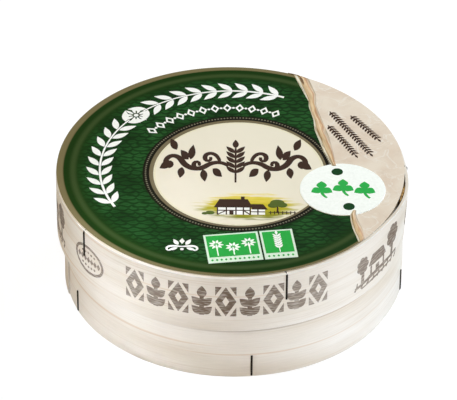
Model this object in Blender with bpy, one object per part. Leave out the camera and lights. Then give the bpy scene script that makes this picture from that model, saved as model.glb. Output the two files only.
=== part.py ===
"""A shut round box of bent poplar veneer that holds one soft cheese.

Units are metres, +Z is up and the front of the box faces -Y. The origin is the middle of
the underside. Every piece is one closed object with its own material. The box is shut, so
what it holds is the solid core of its base.
"""

import bmesh
import bpy
from math import atan2, cos, degrees, hypot, pi, radians, sin

# Veneer, board and paper
VENEER = 0.0011
BOARD = 0.0021
PAPER = 0.00025
GAP = 0.0003

# Main sizes
TOTAL_HEIGHT = 0.0418
LID_RADIUS = 0.0574
LID_EDGE_HEIGHT = 0.0203
BASE_RADIUS = 0.0557
LABEL_RADIUS = 0.0571

# The lid sits a little to the left on the base, and its label a little to the back
LID_CENTRE = (-0.00095, 0.0)
LABEL_CENTRE = (-0.00115, 0.00105)

# Heights that follow from the stack of label, lid board and base
LABEL_UNDERSIDE = TOTAL_HEIGHT - PAPER
RIM_TOP = LABEL_UNDERSIDE - GAP
BOARD_UNDERSIDE = RIM_TOP - BOARD
BASE_TOP = BOARD_UNDERSIDE - GAP

# Each hoop is one strip whose ends are thinned and lapped; angles in degrees from +X
LAP = 24.0
LAP_RAMP = 10.0
LAP_TIP = 0.0004
LAP_RISE = LAP_TIP + GAP
BASE_SEAM = 194.0
LID_SEAM = 119.0
HOOP_STEP = 3.0

# At the right both hoops bulge, and the lid's stands away from its board: size, middle and reach
LID_SWELL = (0.00125, -13.5, 22.0)
BASE_SWELL = (0.0006, -5.0, 24.0)

# Under the lid the base hoop closes in and leans to the left by this much
LEAN = 0.00033
LEAN_START = 0.012
LEAN_END = 0.020
LEAN_LEVELS = 3

# Discs
DISC_SIDES = 120
EDGE_ROUND = 0.00015

# Wire staples bent round the edge of the boards
WIRE_RADIUS = 0.00033
WIRE_PROUD = 0.0001
WIRE_SUNK = WIRE_RADIUS + 0.00002
WIRE_BEND = 0.0008
BEND_STEPS = 5
STAPLE_FOOT = 0.006
LID_STAPLE_LEG = 0.0101
BASE_STAPLE_LEG = 0.0087
LID_STAPLE_ANGLES = (-71.8, 3.1, 72.0, 144.0, 214.8)
BASE_STAPLE_ANGLES = (-83.7, -10.5, 60.0, 132.0, 204.0)
SLOT_CLEAR = 0.002

# Colours are linear RGB
POPLAR = (0.72, 0.62, 0.50)
BOARD_WOOD = (0.66, 0.53, 0.38)
LABEL_GREEN = (0.018, 0.060, 0.022)
STEEL = (0.20, 0.18, 0.16)


def clear_scene():
    """Remove every object of the start-up scene."""
    for thing in list(bpy.data.objects):
        bpy.data.objects.remove(thing, do_unlink=True)


def material(name, colour, roughness, metallic=0.0):
    """One Principled material."""
    made = bpy.data.materials.new(name)
    made.use_nodes = True
    shader = made.node_tree.nodes["Principled BSDF"]
    shader.inputs["Base Color"].default_value = (*colour, 1.0)
    shader.inputs["Roughness"].default_value = roughness
    shader.inputs["Metallic"].default_value = metallic
    return made


def add_object(name, data, finish=None):
    """Link a mesh or a curve as an object, with its material."""
    thing = bpy.data.objects.new(name, data)
    bpy.context.scene.collection.objects.link(thing)
    if finish:
        data.materials.append(finish)
    return thing


def mesh_object(name, bm, finish=None):
    """Turn a bmesh into an object with smooth round faces and sharp corners."""
    bmesh.ops.recalc_face_normals(bm, faces=bm.faces)
    mesh = bpy.data.meshes.new(name)
    bm.to_mesh(mesh)
    bm.free()
    mesh.shade_smooth()
    mesh.set_sharp_from_angle(angle=radians(35))
    return add_object(name, mesh, finish)


def smooth_step(value):
    """Run evenly from 0 to 1 and stay there."""
    value = min(max(value, 0.0), 1.0)
    return value * value * (3.0 - 2.0 * value)


def bulge(swell, angle):
    """How far a hoop stands out at an angle."""
    size, middle, reach = swell
    away = abs((angle - middle + 180.0) % 360.0 - 180.0)
    if away >= reach:
        return 0.0
    return size * (1.0 + cos(pi * away / reach)) / 2.0


def lid_share(height):
    """Share of the lid's bulge at a height: all at the rim, none at the lower edge."""
    return (height - LID_EDGE_HEIGHT) / (RIM_TOP - LID_EDGE_HEIGHT)


def lean_share(height):
    """Share of the lean that the base has at a height."""
    return smooth_step((height - LEAN_START) / (LEAN_END - LEAN_START))


def base_share(height):
    """Share of the base's bulge at a height: it ends under the lid."""
    return 1.0 - lean_share(height)


def strip_faces(turn, radius):
    """Inner and outer radius of a hoop's strip, at a turn counted from its inner end."""
    inner = radius - VENEER
    outer = radius
    thinning = VENEER - LAP_TIP
    if turn < LAP:
        outer = inner + LAP_TIP + thinning * turn / LAP
    lift = LAP_RISE * smooth_step((turn - 360.0 + LAP_RAMP) / LAP_RAMP)
    inner += lift
    outer += lift
    if turn > 360.0:
        inner += thinning * (turn - 360.0) / LAP
    return inner, outer


def raise_faces(bm, levels):
    """Extrude the flat faces of a bmesh upwards through a list of heights."""
    sheet = bm.faces[:] + bm.edges[:]
    for low, high in zip(levels, levels[1:]):
        sheet = bmesh.ops.extrude_face_region(bm, geom=sheet)["geom"]
        corners = [item for item in sheet if isinstance(item, bmesh.types.BMVert)]
        bmesh.ops.translate(bm, verts=corners, vec=(0.0, 0.0, high - low))


def swell_out(bm, swell, share):
    """Let a hoop bulge by its share at each height."""
    for corner in bm.verts:
        x, y, height = corner.co
        growth = 1.0 + bulge(swell, degrees(atan2(y, x))) * share(height) / hypot(x, y)
        corner.co.x = x * growth
        corner.co.y = y * growth


def hoop_mesh(radius, levels, seam):
    """A strip bent once round, its outer end lying over its inner end at the seam."""
    bm = bmesh.new()
    count = round((360.0 + LAP) / HOOP_STEP)
    rows = []
    for step in range(count + 1):
        turn = step * HOOP_STEP
        angle = seam - LAP + turn
        row = []
        for reach in strip_faces(turn, radius):
            place = (reach * cos(radians(angle)), reach * sin(radians(angle)), levels[0])
            row.append(bm.verts.new(place))
        rows.append(row)
    for here, after in zip(rows, rows[1:]):
        bm.faces.new((here[0], here[1], after[1], after[0]))
    raise_faces(bm, levels)
    return bm


def disc_mesh(radius, levels):
    """A round board with small rounded edges at its top and underside."""
    bm = bmesh.new()
    bmesh.ops.create_circle(bm, cap_ends=True, segments=DISC_SIDES, radius=radius)
    bmesh.ops.translate(bm, verts=bm.verts, vec=(0.0, 0.0, levels[0]))
    raise_faces(bm, levels)
    return bm


def round_rims(bm, width):
    """Bevel the edges that bound the top and the underside."""
    rims = [edge for edge in bm.edges if edge.is_manifold and edge.calc_face_angle() > radians(60)]
    bmesh.ops.bevel(bm, geom=rims, offset=width, segments=1, affect="EDGES")


def lean(bm, radius):
    """Close the top of a base piece in and lean it to the left."""
    for corner in bm.verts:
        share = lean_share(corner.co.z)
        closing = 1.0 - LEAN * share / radius
        corner.co.x = corner.co.x * closing - LEAN * share
        corner.co.y = corner.co.y * closing


def base_levels():
    """Heights at which the base pieces get a ring of points."""
    rise = (LEAN_END - LEAN_START) / LEAN_LEVELS
    return [0.0] + [LEAN_START + rise * step for step in range(LEAN_LEVELS + 1)] + [BASE_TOP]


def base_hoop(finish):
    """The wall of the base."""
    bm = hoop_mesh(BASE_RADIUS, base_levels(), BASE_SEAM)
    swell_out(bm, BASE_SWELL, base_share)
    lean(bm, BASE_RADIUS)
    return mesh_object("base_hoop", bm, finish)


def base_core(finish):
    """The bottom board and the full inside of the shut box, as one solid."""
    radius = BASE_RADIUS - VENEER - GAP
    bm = disc_mesh(radius, base_levels())
    round_rims(bm, EDGE_ROUND)
    lean(bm, radius)
    return mesh_object("base_core", bm, finish)


def lid_hoop(finish):
    """The wall of the lid."""
    bm = hoop_mesh(LID_RADIUS, [LID_EDGE_HEIGHT, RIM_TOP], LID_SEAM)
    swell_out(bm, LID_SWELL, lid_share)
    bmesh.ops.translate(bm, verts=bm.verts, vec=(*LID_CENTRE, 0.0))
    return mesh_object("lid_hoop", bm, finish)


def lid_board(finish):
    """The round board inside the rim of the lid."""
    bm = disc_mesh(LID_RADIUS - VENEER - GAP, [BOARD_UNDERSIDE, RIM_TOP])
    round_rims(bm, EDGE_ROUND)
    bmesh.ops.translate(bm, verts=bm.verts, vec=(*LID_CENTRE, 0.0))
    return mesh_object("lid_board", bm, finish)


def lid_label(finish):
    """The paper label on the lid, which covers the board and most of the rim."""
    bm = disc_mesh(LABEL_RADIUS, [LABEL_UNDERSIDE, TOTAL_HEIGHT])
    bmesh.ops.translate(bm, verts=bm.verts, vec=(*LABEL_CENTRE, 0.0))
    return mesh_object("lid_label", bm, finish)


def staple_path(radius, face, inside, leg):
    """Points of a staple's wire as (outward, height), from its leg round the edge to its foot.

    The face is the height of the board's outer face, and inside is +1 where the wood lies
    above it and -1 where it lies below.
    """
    side = radius + WIRE_PROUD
    points = [(side, face + inside * leg)]
    for step in range(BEND_STEPS + 1):
        bend = pi / 2.0 * step / BEND_STEPS
        outward = side - WIRE_BEND * (1.0 - cos(bend))
        depth = WIRE_SUNK + WIRE_BEND * (1.0 - sin(bend))
        points.append((outward, face + inside * depth))
    points.append((radius - STAPLE_FOOT, face + inside * WIRE_SUNK))
    return points


def staple(name, centre, angle, path, finish):
    """One wire staple as a round curve, turned to its place."""
    curve = bpy.data.curves.new(name, "CURVE")
    curve.dimensions = "3D"
    curve.bevel_depth = WIRE_RADIUS
    curve.bevel_resolution = 2
    curve.use_fill_caps = True
    spline = curve.splines.new("POLY")
    spline.points.add(len(path) - 1)
    for point, (outward, height) in zip(spline.points, path):
        point.co = (outward, 0.0, height, 1.0)
    thing = add_object(name, curve, finish)
    thing.location = (*centre, 0.0)
    thing.rotation_euler = (0.0, 0.0, radians(angle))
    return thing


def slot_outline(radius, face, inside, leg):
    """The slot round a staple as (outward, height): along the wall and across the edge."""
    wall = radius + WIRE_PROUD - WIRE_RADIUS - GAP
    foot = radius - STAPLE_FOOT - GAP
    floor = face + inside * (WIRE_SUNK + WIRE_RADIUS + GAP)
    far = face + inside * (leg + GAP)
    outside = face - inside * SLOT_CLEAR
    beyond = radius + SLOT_CLEAR
    return [(beyond, outside), (foot, outside), (foot, floor), (wall, floor), (wall, far), (beyond, far)]


def add_slot(bm, centre, angle, outline):
    """Add one slot, as wide as the wire and its clearance, to the cutter."""
    half = WIRE_RADIUS + GAP
    across = (-sin(radians(angle)), cos(radians(angle)))
    corners = []
    for outward, height in outline:
        x = centre[0] + outward * cos(radians(angle)) - half * across[0]
        y = centre[1] + outward * sin(radians(angle)) - half * across[1]
        corners.append(bm.verts.new((x, y, height)))
    start = bm.faces.new(corners)
    grown = bmesh.ops.extrude_face_region(bm, geom=[start])["geom"]
    moved = [item for item in grown if isinstance(item, bmesh.types.BMVert)]
    bmesh.ops.translate(bm, verts=moved, vec=(2 * half * across[0], 2 * half * across[1], 0.0))


def cut_slots(name, bm, pieces):
    """Cut the staples' slots out of the pieces that they hold together."""
    cutter = mesh_object(name, bm)
    cutter.hide_render = True
    cutter.display_type = "WIRE"
    for piece in pieces:
        cut = piece.modifiers.new("staple_slots", "BOOLEAN")
        cut.operation = "DIFFERENCE"
        cut.solver = "EXACT"
        cut.object = cutter


def staple_ring(kind, centre, radius, swell, face, inside, leg, angles, pieces, finish):
    """Staples spread round an edge, each in its slot."""
    slots = bmesh.new()
    for index, angle in enumerate(angles):
        reach = radius + bulge(swell, angle)
        staple(f"{kind}_staple_{index + 1}", centre, angle, staple_path(reach, face, inside, leg), finish)
        add_slot(slots, centre, angle, slot_outline(reach, face, inside, leg))
    cut_slots(f"{kind}_slot_cutter", slots, pieces)


def build():
    """Make the whole box."""
    clear_scene()
    poplar = material("poplar_veneer", POPLAR, 0.65)
    board_wood = material("poplar_board", BOARD_WOOD, 0.70)
    printed_paper = material("printed_paper", LABEL_GREEN, 0.45)
    steel = material("staple_wire", STEEL, 0.45, 1.0)

    wall = base_hoop(poplar)
    core = base_core(board_wood)
    lid_wall = lid_hoop(poplar)
    board = lid_board(board_wood)
    lid_label(printed_paper)

    staple_ring("base", (0.0, 0.0), BASE_RADIUS, BASE_SWELL, 0.0, 1.0, BASE_STAPLE_LEG,
                BASE_STAPLE_ANGLES, [wall, core], steel)
    staple_ring("lid", LID_CENTRE, LID_RADIUS, LID_SWELL, RIM_TOP, -1.0, LID_STAPLE_LEG,
                LID_STAPLE_ANGLES, [lid_wall, board], steel)


build()
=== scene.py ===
"""The looks of a shut round veneer box of soft cheese with a printed paper label.

Lengths are millimetres and angles are degrees, and a mesh is turned to metres when its piece
is finished. The frame has +Z up, its front at -Y and its origin under the middle of the box.
"""

from math import cos, hypot, pi, radians, sin

import bmesh
import bpy
from mathutils import Matrix, Vector


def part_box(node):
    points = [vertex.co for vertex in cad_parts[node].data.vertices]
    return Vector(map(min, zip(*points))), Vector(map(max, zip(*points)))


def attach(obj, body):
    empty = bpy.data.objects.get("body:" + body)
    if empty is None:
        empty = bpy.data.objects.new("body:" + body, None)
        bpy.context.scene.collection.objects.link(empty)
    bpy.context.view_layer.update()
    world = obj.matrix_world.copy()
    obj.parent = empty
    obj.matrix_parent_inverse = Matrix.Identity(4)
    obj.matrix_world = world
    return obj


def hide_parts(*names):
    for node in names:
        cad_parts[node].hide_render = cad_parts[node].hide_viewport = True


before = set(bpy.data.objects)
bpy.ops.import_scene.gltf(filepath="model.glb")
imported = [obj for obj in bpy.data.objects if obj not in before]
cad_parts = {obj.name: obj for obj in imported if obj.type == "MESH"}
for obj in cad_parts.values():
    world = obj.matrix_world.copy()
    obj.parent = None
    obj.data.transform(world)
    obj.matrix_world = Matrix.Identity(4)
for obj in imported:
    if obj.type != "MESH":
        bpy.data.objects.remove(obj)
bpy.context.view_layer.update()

MM = 0.001

# Places that follow from the frame
LABEL_LOW, LABEL_HIGH = (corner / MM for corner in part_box("lid_label"))
LABEL_X = (LABEL_LOW.x + LABEL_HIGH.x) / 2.0
LABEL_Y = (LABEL_LOW.y + LABEL_HIGH.y) / 2.0
LABEL_RADIUS = (LABEL_HIGH.x - LABEL_LOW.x) / 2.0
TOP = LABEL_HIGH.z
LID_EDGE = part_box("lid_hoop")[0].z / MM
BASE_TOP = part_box("base_hoop")[1].z / MM

# The two hoops, each a strip of veneer whose thinned ends lap over one another
VENEER = 1.1
LID_RADIUS = 57.4
BASE_RADIUS = 55.7
LID_X = -0.95
LAP = 24.0
LAP_RAMP = 10.0
LAP_TIP = 0.4
LAP_GAP = 0.02
LAP_RISE = LAP_TIP + LAP_GAP
STRIP_END = 360.0 + LAP
BASE_SEAM = 194.0
LID_SEAM = 119.0
LEAN = 0.33
LEAN_START = 12.0
LEAN_END = 20.0
WOBBLE = 0.05
WOBBLE_LENGTH = 25.0
VENEER_ROUND = 0.12
HEIGHT_POINTS = 16

# How far each hoop bulges at the right, the middle of its bulge and the reach to each side
LID_SWELL = 1.25
LID_SWELL_MIDDLE = -13.5
LID_SWELL_REACH = 22.0
BASE_SWELL = 0.6
BASE_SWELL_MIDDLE = -5.0
BASE_SWELL_REACH = 24.0

# Painted shadow: a darker band on the base wall just below the lid's edge, where the lid's overhang shades
# it; its middle height, half width and strength
SEAM_SHADE_MIDDLE = LID_EDGE - 1.2
SEAM_SHADE_HALF = 1.0
SEAM_SHADE_COVER = 0.6

# Wire staples
WIRE_RADIUS = 0.33
WIRE_SIDES = 12
WIRE_PROUD = 0.1
WIRE_BEND = 0.7
BEND_STEPS = 6
STAPLE_FOOT = 6.0
LID_FOOT_DEPTH = 0.27
BASE_FOOT_DEPTH = 0.36
LID_LEG = 10.1
BASE_LEG = 8.7
LID_STAPLE_ANGLES = (-71.8, 3.1, 72.0, 144.0, 214.8)
BASE_STAPLE_ANGLES = (-83.7, -10.5, 60.0, 132.0, 204.0)

# The board of the base lies a little above its rim, clear of the wall, with bevelled edges
BOARD_RECESS = 0.15
BOARD_GAP = 0.12
BOARD_BEVEL = 0.3

# A sliver of wood in the gap at the right; its tips are narrow and its upper edge is notched
SPLINTER_START = -7.0
SPLINTER_END = -16.0
SPLINTER_STEPS = 40
SPLINTER_RADIUS = 56.95
SPLINTER_WIDTH = 0.95
SPLINTER_TIP = 0.12
SPLINTER_SWAY = 0.12
SPLINTER_FOOT = 39.6
SPLINTER_DROP = 0.28
SPLINTER_NOTCH = 0.22

# The label is a sheet that lies on the rim, its edge pressed down a little
PAPER = 0.12
PAPER_GAP = 0.03
LABEL_BEND = 4.0
LABEL_DROP = 0.05
INK = 0.02
RIM_TOP = TOP - LABEL_DROP - PAPER - PAPER_GAP
CUT_TOP = TOP - LABEL_DROP - INK

# The rule of each hoop. A bulge is full at one height and ends at another; only the base leans
LID_HOOP = {"Radius": LID_RADIUS, "Seam": LID_SEAM, "Centre X": LID_X,
            "Swell": LID_SWELL, "Swell Middle": LID_SWELL_MIDDLE, "Swell Reach": LID_SWELL_REACH,
            "Full Height": RIM_TOP, "End Height": LID_EDGE, "Lean": 0.0}
BASE_HOOP = {"Radius": BASE_RADIUS, "Seam": BASE_SEAM, "Centre X": 0.0,
             "Swell": BASE_SWELL, "Swell Middle": BASE_SWELL_MIDDLE, "Swell Reach": BASE_SWELL_REACH,
             "Full Height": LEAN_START, "End Height": LEAN_END, "Lean": LEAN}
HOOP_SIZES = tuple(LID_HOOP)

# Shapes of one ink may overlap, so each lies at one of a few levels that differ by this much
LEVEL_STEP = 0.0015
LEVELS = 11

# Rings of the print: their middle, and their radii
PRINT_X = -0.51
PRINT_Y = 0.74
BAND_START = 51.4
BAND_END = 53.3
OLIVE_EDGE = 55.58

# The pattern of waves on the green field
WAVE_ROW = 1.9
WAVE_LENGTH = 4.4
WAVE_ARCH = 0.55
WAVE_SWAY = 5.0

# The cream side starts at a torn edge; its colour starts on a straight line under the strand
TEAR_X = 33.0
TEAR_SLOPE = -0.209

# The torn edge, the end of its pale strip and the far side of the strand, from back to front
TEAR_BACK = ((19.7, 54.8), (24.9, 38.5), (24.9, 35.6), (26.4, 28.0),
             (26.7, 22.4), (29.5, 10.4), (32.1, 2.4))
STRIP_BACK = ((21.4, 54.8), (25.2, 38.5), (25.7, 33.2), (27.0, 27.5),
              (27.5, 21.9), (30.2, 11.6), (32.6, 2.4))
STRAND_BACK = ((24.3, 54.8), (27.4, 42.6), (27.4, 36.5), (28.4, 31.6),
               (31.5, 18.7), (33.3, 5.3), (33.5, 2.4))
TEAR_FRONT = ((38.5, -21.7), (37.6, -23.9), (37.7, -27.2), (38.3, -31.1), (40.0, -37.8))
STRIP_FRONT = ((38.7, -21.7), (38.0, -23.9), (38.3, -27.5), (38.9, -31.1), (40.7, -37.8))
STRAND_FRONT = ((39.6, -21.7), (39.5, -23.8), (40.1, -26.6), (41.4, -31.0), (42.3, -37.8))

# How high the strip and the strand stand, the strip's share of their width in the grain, and
# their ribs and rows
STRIP_HEIGHT = 0.06
STRAND_HEIGHT = 0.28
STRIP_SHARE = 0.2
STRIP_RIBS = 2
STRAND_RIBS = 8
STRAND_STEP = 0.7

# A dark fleck on the strand: how far back, its share across, and its size along and across
FLECK_PLACE = 50.4
FLECK_SHARE = 0.29
FLECK_LONG = 3.2
FLECK_WIDE = 0.14

# The medallion and the rings round it
MEDALLION_X = 1.4
MEDALLION_Y = -1.6
MEDALLION_EDGE = 31.4
BEAD_RING = 30.4
BEAD_COUNT = 182
BEAD_RADIUS = 0.33
OLIVE_RING = 29.2
CREAM_X = 1.65
CREAM_Y = -1.85
CREAM_EDGE = 28.1
CREAM_INSIDE = 27.4
SCROLL_X = 0.5
SCROLL_Y = 5.0
SCROLL_WIDE = 1.14
SCROLL_HIGH = 1.9
FARM_X = 0.5
FARM_Y = -24.2
MEADOW_X = 4.5
MEADOW_Y = -20.0
MEADOW_WIDE = 16.5
MEADOW_HIGH = 7.4
MEADOW_FRONT = -24.0
MEADOW_BACK = -10.5

# The wreath, the row of lozenges and the round tag
WREATH_RADIUS = 43.5
WREATH_START = 66.8
WREATH_END = 209.0
WREATH_LEAVES = 10
WREATH_GAP = 6.5
LOZENGE_RADIUS = 33.8
LOZENGE_START = 65.0
LOZENGE_END = 142.5
LOZENGES = 12
TAG_X = 35.4
TAG_Y = -10.3
TAG_RADIUS = 14.0
TAG_HEIGHT = 0.20
TAG_EDGE = 0.12
TAG_HOLES = ((33.8, -0.9), (37.3, -19.6))
HOLE_RADIUS = 1.9

# Size of the fine sprigs on the cream side
SPRIG_SIZE = 0.62

# The two green panels, side by side on a slope
PANELS_X = -7.9
PANELS_Y = -49.8
PANELS_SLOPE = 7.6
WIDE_PANEL = 17.6
NARROW_PANEL = 10.6
PANEL_HEIGHT = 14.8
PANEL_GAP = 0.6
PANEL_FRAME = 0.7
PANEL_FOOT = 3.0

# The small flourish beside the panels
FLOURISH_X = -16.5
FLOURISH_Y = -41.0

# Brown stamping round the lid; it repeats along the strip, which starts at STRIP_START.
# A degree of the strip is LID_DEGREE millimetres long. The ink reaches from STAMP_LOW to
# STAMP_HIGH of the veneer's thickness
STRIP_START = LID_SEAM - LAP
LID_DEGREE = pi * LID_RADIUS / 180.0
STAMP_REPEAT = 139.0
STAMP_ROW_START = 234.0
STAMP_PITCH = 7.7
STAMP_COUNT = 9
STAMP_MIDDLE = 32.4
STAMP_HALF_WIDTH = 3.4
STAMP_HALF_HEIGHT = 5.9
OVAL_ANGLE = 217.0
OVAL_MIDDLE = 30.9
PICTURE_ANGLE = 326.5
PICTURE_DROP = 5.0
STAMP_SLICE = 1.5
STAMP_PALEST = 0.80
STAMP_LOW = 0.93
STAMP_HIGH = 1.025

# Camera
CAMERA_TILT = 37.33
CAMERA_ROLL = 0.44
CAMERA_DISTANCE = 1300.0
CAMERA_TARGET = Vector((-1.74, 0.0, 29.34))
CAMERA_LENS = 310.5
SENSOR_WIDTH = 36.0

# Studio: how bright the table glows for the camera, and how much of its look that is
TABLE_GLOW = 1.08
TABLE_SHARE = 0.88
FLOOR_HALF = 6000.0
FLOOR_DROP = 0.2

# How far away the lights stand, and the height that they aim at
LIGHT_DISTANCE = 1100.0
BEAM_DISTANCE = 500.0
BEAM_SIZE = 50.0
AIM_HEIGHT = 20.0

# The surround, and soft lights, each as name, azimuth, elevation, size, watts and tint.
# Azimuth runs from the front to the right
SURROUND = 0.2
SURROUND_TINT = "#FFE9C4"
SOFT_LIGHTS = (("key_light", 30.0, 48.0, 160.0, 2.6, "#FFEDC8"),
               ("back_right_light", 135.0, 40.0, 600.0, 13.4, "#D6EAFF"),
               ("back_left_light", -135.0, 40.0, 600.0, 3.2, "#FFE8BC"))

# Beams on the walls, each as name, azimuth, elevation, watts, tint, azimuth of the spot that it
# meets, and spread
BEAMS = (("left_beam", -43.0, 40.0, 0.0141, "#E5EEFB", -40.0, 10.0),
         ("right_beam", 40.0, 2.0, 0.0124, "#D8E8FF", 41.0, 13.0))

# Kinds of node that are used often
MATH = "ShaderNodeMath"
MIX = "ShaderNodeMix"
MAP = "ShaderNodeMapRange"
NOISE = "ShaderNodeTexNoise"
RAMP = "ShaderNodeValToRGB"
PLACE = "ShaderNodeMapping"
VECTOR = "ShaderNodeVectorMath"
COMBINE = "ShaderNodeCombineXYZ"
SEPARATE = "ShaderNodeSeparateXYZ"

# Gloss of the varnished print
PRINT_ROUGHNESS = 0.36
PRINT_SPECULAR = 0.10

# Colours, as sRGB; a row of places and colours is a colour ramp
VENEER_PALE = "#E9E2D8"
VENEER_TAN = "#D8CCBB"
VENEER_STREAK = "#C4AE92"
VENEER_LINE = "#CCAA82"
# Painted shadow on the base wall below the lid's edge
VENEER_SEAM_SHADE = "#A89074"
STAMP_BROWN = "#614C3A"
BOARD_PALE = "#E9DBC4"
BOARD_TAN = "#C9AE88"
# Ochre torn wood; its darker browns are painted shade of the gap at the right
TORN_WOOD_AND_GAP_SHADE = ((0.35, "#6A4A1E"), (0.50, "#A77E3C"), (0.68, "#CDA868"))
STEEL_MARKS = ((0.3, "#1D1916"), (0.7, "#3A332C"))
FIELD_DARK = "#0A250A"
FIELD_GREEN = "#123A14"
FIELD_LIGHT = "#245627"
RING_GREEN = "#143408"
BAND_OLIVE = "#364A24"
RIM_OLIVE = "#7A6F4D"
PARCHMENT = "#E6DACA"
PARCHMENT_SHADE = "#DDCCBA"
PARCHMENT_VEIN = "#EBE4DA"
CREAM = "#EAE3D0"
CREAM_LIGHT = "#EEE6D4"
GRASS = ((0.0, "#7F8225"), (0.35, "#ABA62B"), (0.65, "#D2BF31"), (1.0, "#E9D66A"))
PAPER_WHITE = "#F2ECDD"
CREAM_PALE = "#E9E2C6"
RING_OLIVE = "#786D54"
INK_BLACK = "#15120A"
INK_BROWN = "#3E2C24"
INK_WHITE = "#FAFAF7"
INK_GREEN = "#2FAE4E"
INK_PANEL = "#2DAA46"
INK_PALE_GREEN = "#DDEEDD"
INK_MOSS = "#55652C"
INK_DEEP_GREEN = "#14401F"
TAG_WHITE = "#FBFFFB"
BEAD_GREY = "#807B66"
STRAND_FOLDS = ((0.20, "#A8885E"), (0.27, "#E4CBA4"), (0.38, "#E0C096"), (0.50, "#EAD1AA"),
                (0.60, "#D2A87A"), (0.72, "#BC9070"), (0.84, "#D8BE9C"), (1.0, "#AE9C82"))
TORN_PAPER = ((0.36, "#A8926C"), (0.50, "#E4DCC4"), (0.70, "#F0ECDA"))
STRAND_FLECK = "#5A3E28"
TABLE_WHITE = "#F4F4F4"
GLOW_WHITE = "#FFFFFF"


def linear(code):
    """Turn an sRGB hex colour into linear red, green, blue and alpha."""
    colour = []
    for place in (1, 3, 5):
        part = int(code[place:place + 2], 16) / 255.0
        colour.append(part / 12.92 if part <= 0.04045 else ((part + 0.055) / 1.055) ** 2.4)
    return (*colour, 1.0)


def smooth_step(value):
    """Run evenly from 0 to 1 and stay there."""
    value = min(max(value, 0.0), 1.0)
    return value * value * (3.0 - 2.0 * value)


# Nodes and materials

def add(tree, kind, inputs=(), out=0, stops=(), **settings):
    """Add one node with its settings, link or set its inputs, and return one of its outputs.

    Inputs are a tuple in the order of the sockets, where None leaves one alone, or a dict by
    number or name. Stops are the places and colours of a colour ramp.
    """
    made = tree.nodes.new(kind)
    for key, value in settings.items():
        setattr(made, key, value)
    pairs = inputs.items() if isinstance(inputs, dict) else enumerate(inputs)
    for key, value in pairs:
        if isinstance(value, bpy.types.NodeSocket):
            tree.links.new(value, made.inputs[key])
        elif value is not None:
            made.inputs[key].default_value = value
    if stops:
        elements = made.color_ramp.elements
        elements.remove(elements[1])
        elements[0].position = stops[0][0]
        elements[0].color = linear(stops[0][1])
        for position, code in stops[1:]:
            elements.new(position).color = linear(code)
    return made.outputs[out] if made.outputs else None


def new_material(name):
    """Start a material with an empty tree."""
    made = bpy.data.materials.new(name)
    made.use_nodes = True
    made.node_tree.nodes.clear()
    return made, made.node_tree


def close_material(tree, inputs, height, depth):
    """End a material in a Principled shader, with a bump of that many millimetres."""
    bump = add(tree, "ShaderNodeBump", {"Strength": 1.0, "Distance": depth * MM, "Height": height})
    shader = add(tree, "ShaderNodeBsdfPrincipled", {**inputs, "Normal": bump})
    add(tree, "ShaderNodeOutputMaterial", {"Surface": shader})


def close_print(tree, colour, fibre):
    """End a material of the label in its varnish, with the fibre of the paper under it."""
    varnish = {"Base Color": colour, "Roughness": PRINT_ROUGHNESS, "Specular IOR Level": PRINT_SPECULAR}
    close_material(tree, varnish, fibre, 0.02)


def place_in_mm(tree):
    """The point on a piece, in millimetres of the frame."""
    point = add(tree, "ShaderNodeTexCoord", out=3)
    return add(tree, PLACE, {"Vector": point, "Scale": (1.0 / MM,) * 3})


def paper_fibre(tree, place):
    """The cloudy fibre of coated paper, in patches of almost a millimetre so that it shows."""
    return add(tree, NOISE, {"Vector": place, "Scale": 1.2, "Detail": 2.0})


def grain_noise(tree, place, run, across, detail=2.0):
    """Noise stretched into grain: run and across are the lengths of its patches."""
    stretched = add(tree, PLACE, {"Vector": place, "Scale": (1.0 / run, 1.0 / across, 1.0 / across)})
    return add(tree, NOISE, {"Vector": stretched, "Scale": 1.0, "Detail": detail})


def veneer_colour(tree):
    """Colour and fibre of the veneer, which run along the strip, and the place on the strip.

    It is painted darker brown just below the lid's edge: a painted shadow of the lid's overhang on the
    base.
    """
    strip = add(tree, "ShaderNodeUVMap", uv_map="grain")
    broad = grain_noise(tree, strip, 70.0, 11.0)
    streak = grain_noise(tree, strip, 60.0, 0.9, 3.0)
    fibre = grain_noise(tree, strip, 7.0, 0.35)
    base = add(tree, RAMP, (broad,), stops=((0.35, VENEER_PALE), (0.72, VENEER_TAN)))
    streaks = add(tree, MAP, (streak, 0.56, 0.74, 0.0, 0.42))
    grained = add(tree, MIX, {0: streaks, 6: base, 7: linear(VENEER_STREAK)}, 2, data_type="RGBA")
    line = grain_noise(tree, strip, 160.0, 1.6, 1.0)
    lines = add(tree, MAP, (line, 0.62, 0.70, 0.0, 0.45), interpolation_type="SMOOTHSTEP")
    grained = add(tree, MIX, {0: lines, 6: grained, 7: linear(VENEER_LINE)}, 2, data_type="RGBA")
    fibres = add(tree, MAP, (fibre, 0.30, 0.70, 0.95, 1.03))
    clean = add(tree, MIX, {0: 1.0, 6: grained, 7: fibres}, 2, data_type="RGBA", blend_type="MULTIPLY")
    # Painted shadow: darken a band of height just below the lid's edge, on both hoops, where the lid's
    # overhang shades the base
    height = add(tree, SEPARATE, (strip,), 1)
    below = add(tree, MATH, (height, SEAM_SHADE_MIDDLE), operation="SUBTRACT")
    near = add(tree, MATH, (below,), operation="ABSOLUTE")
    span = (near, SEAM_SHADE_HALF / 3.0, SEAM_SHADE_HALF, SEAM_SHADE_COVER, 0.0)
    seam_shade = add(tree, MAP, span, interpolation_type="SMOOTHSTEP")
    colour = add(tree, MIX, {0: seam_shade, 6: clean, 7: linear(VENEER_SEAM_SHADE)}, 2, data_type="RGBA")
    return colour, fibre, strip


def poplar_veneer():
    """Sliced poplar, unfinished and sanded thin: pale and matt, with fine grain along the strip."""
    made, tree = new_material("poplar_veneer")
    colour, fibre, _ = veneer_colour(tree)
    close_material(tree, {"Base Color": colour, "Roughness": 0.62, "Specular IOR Level": 0.3}, fibre, 0.05)
    return made


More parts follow.
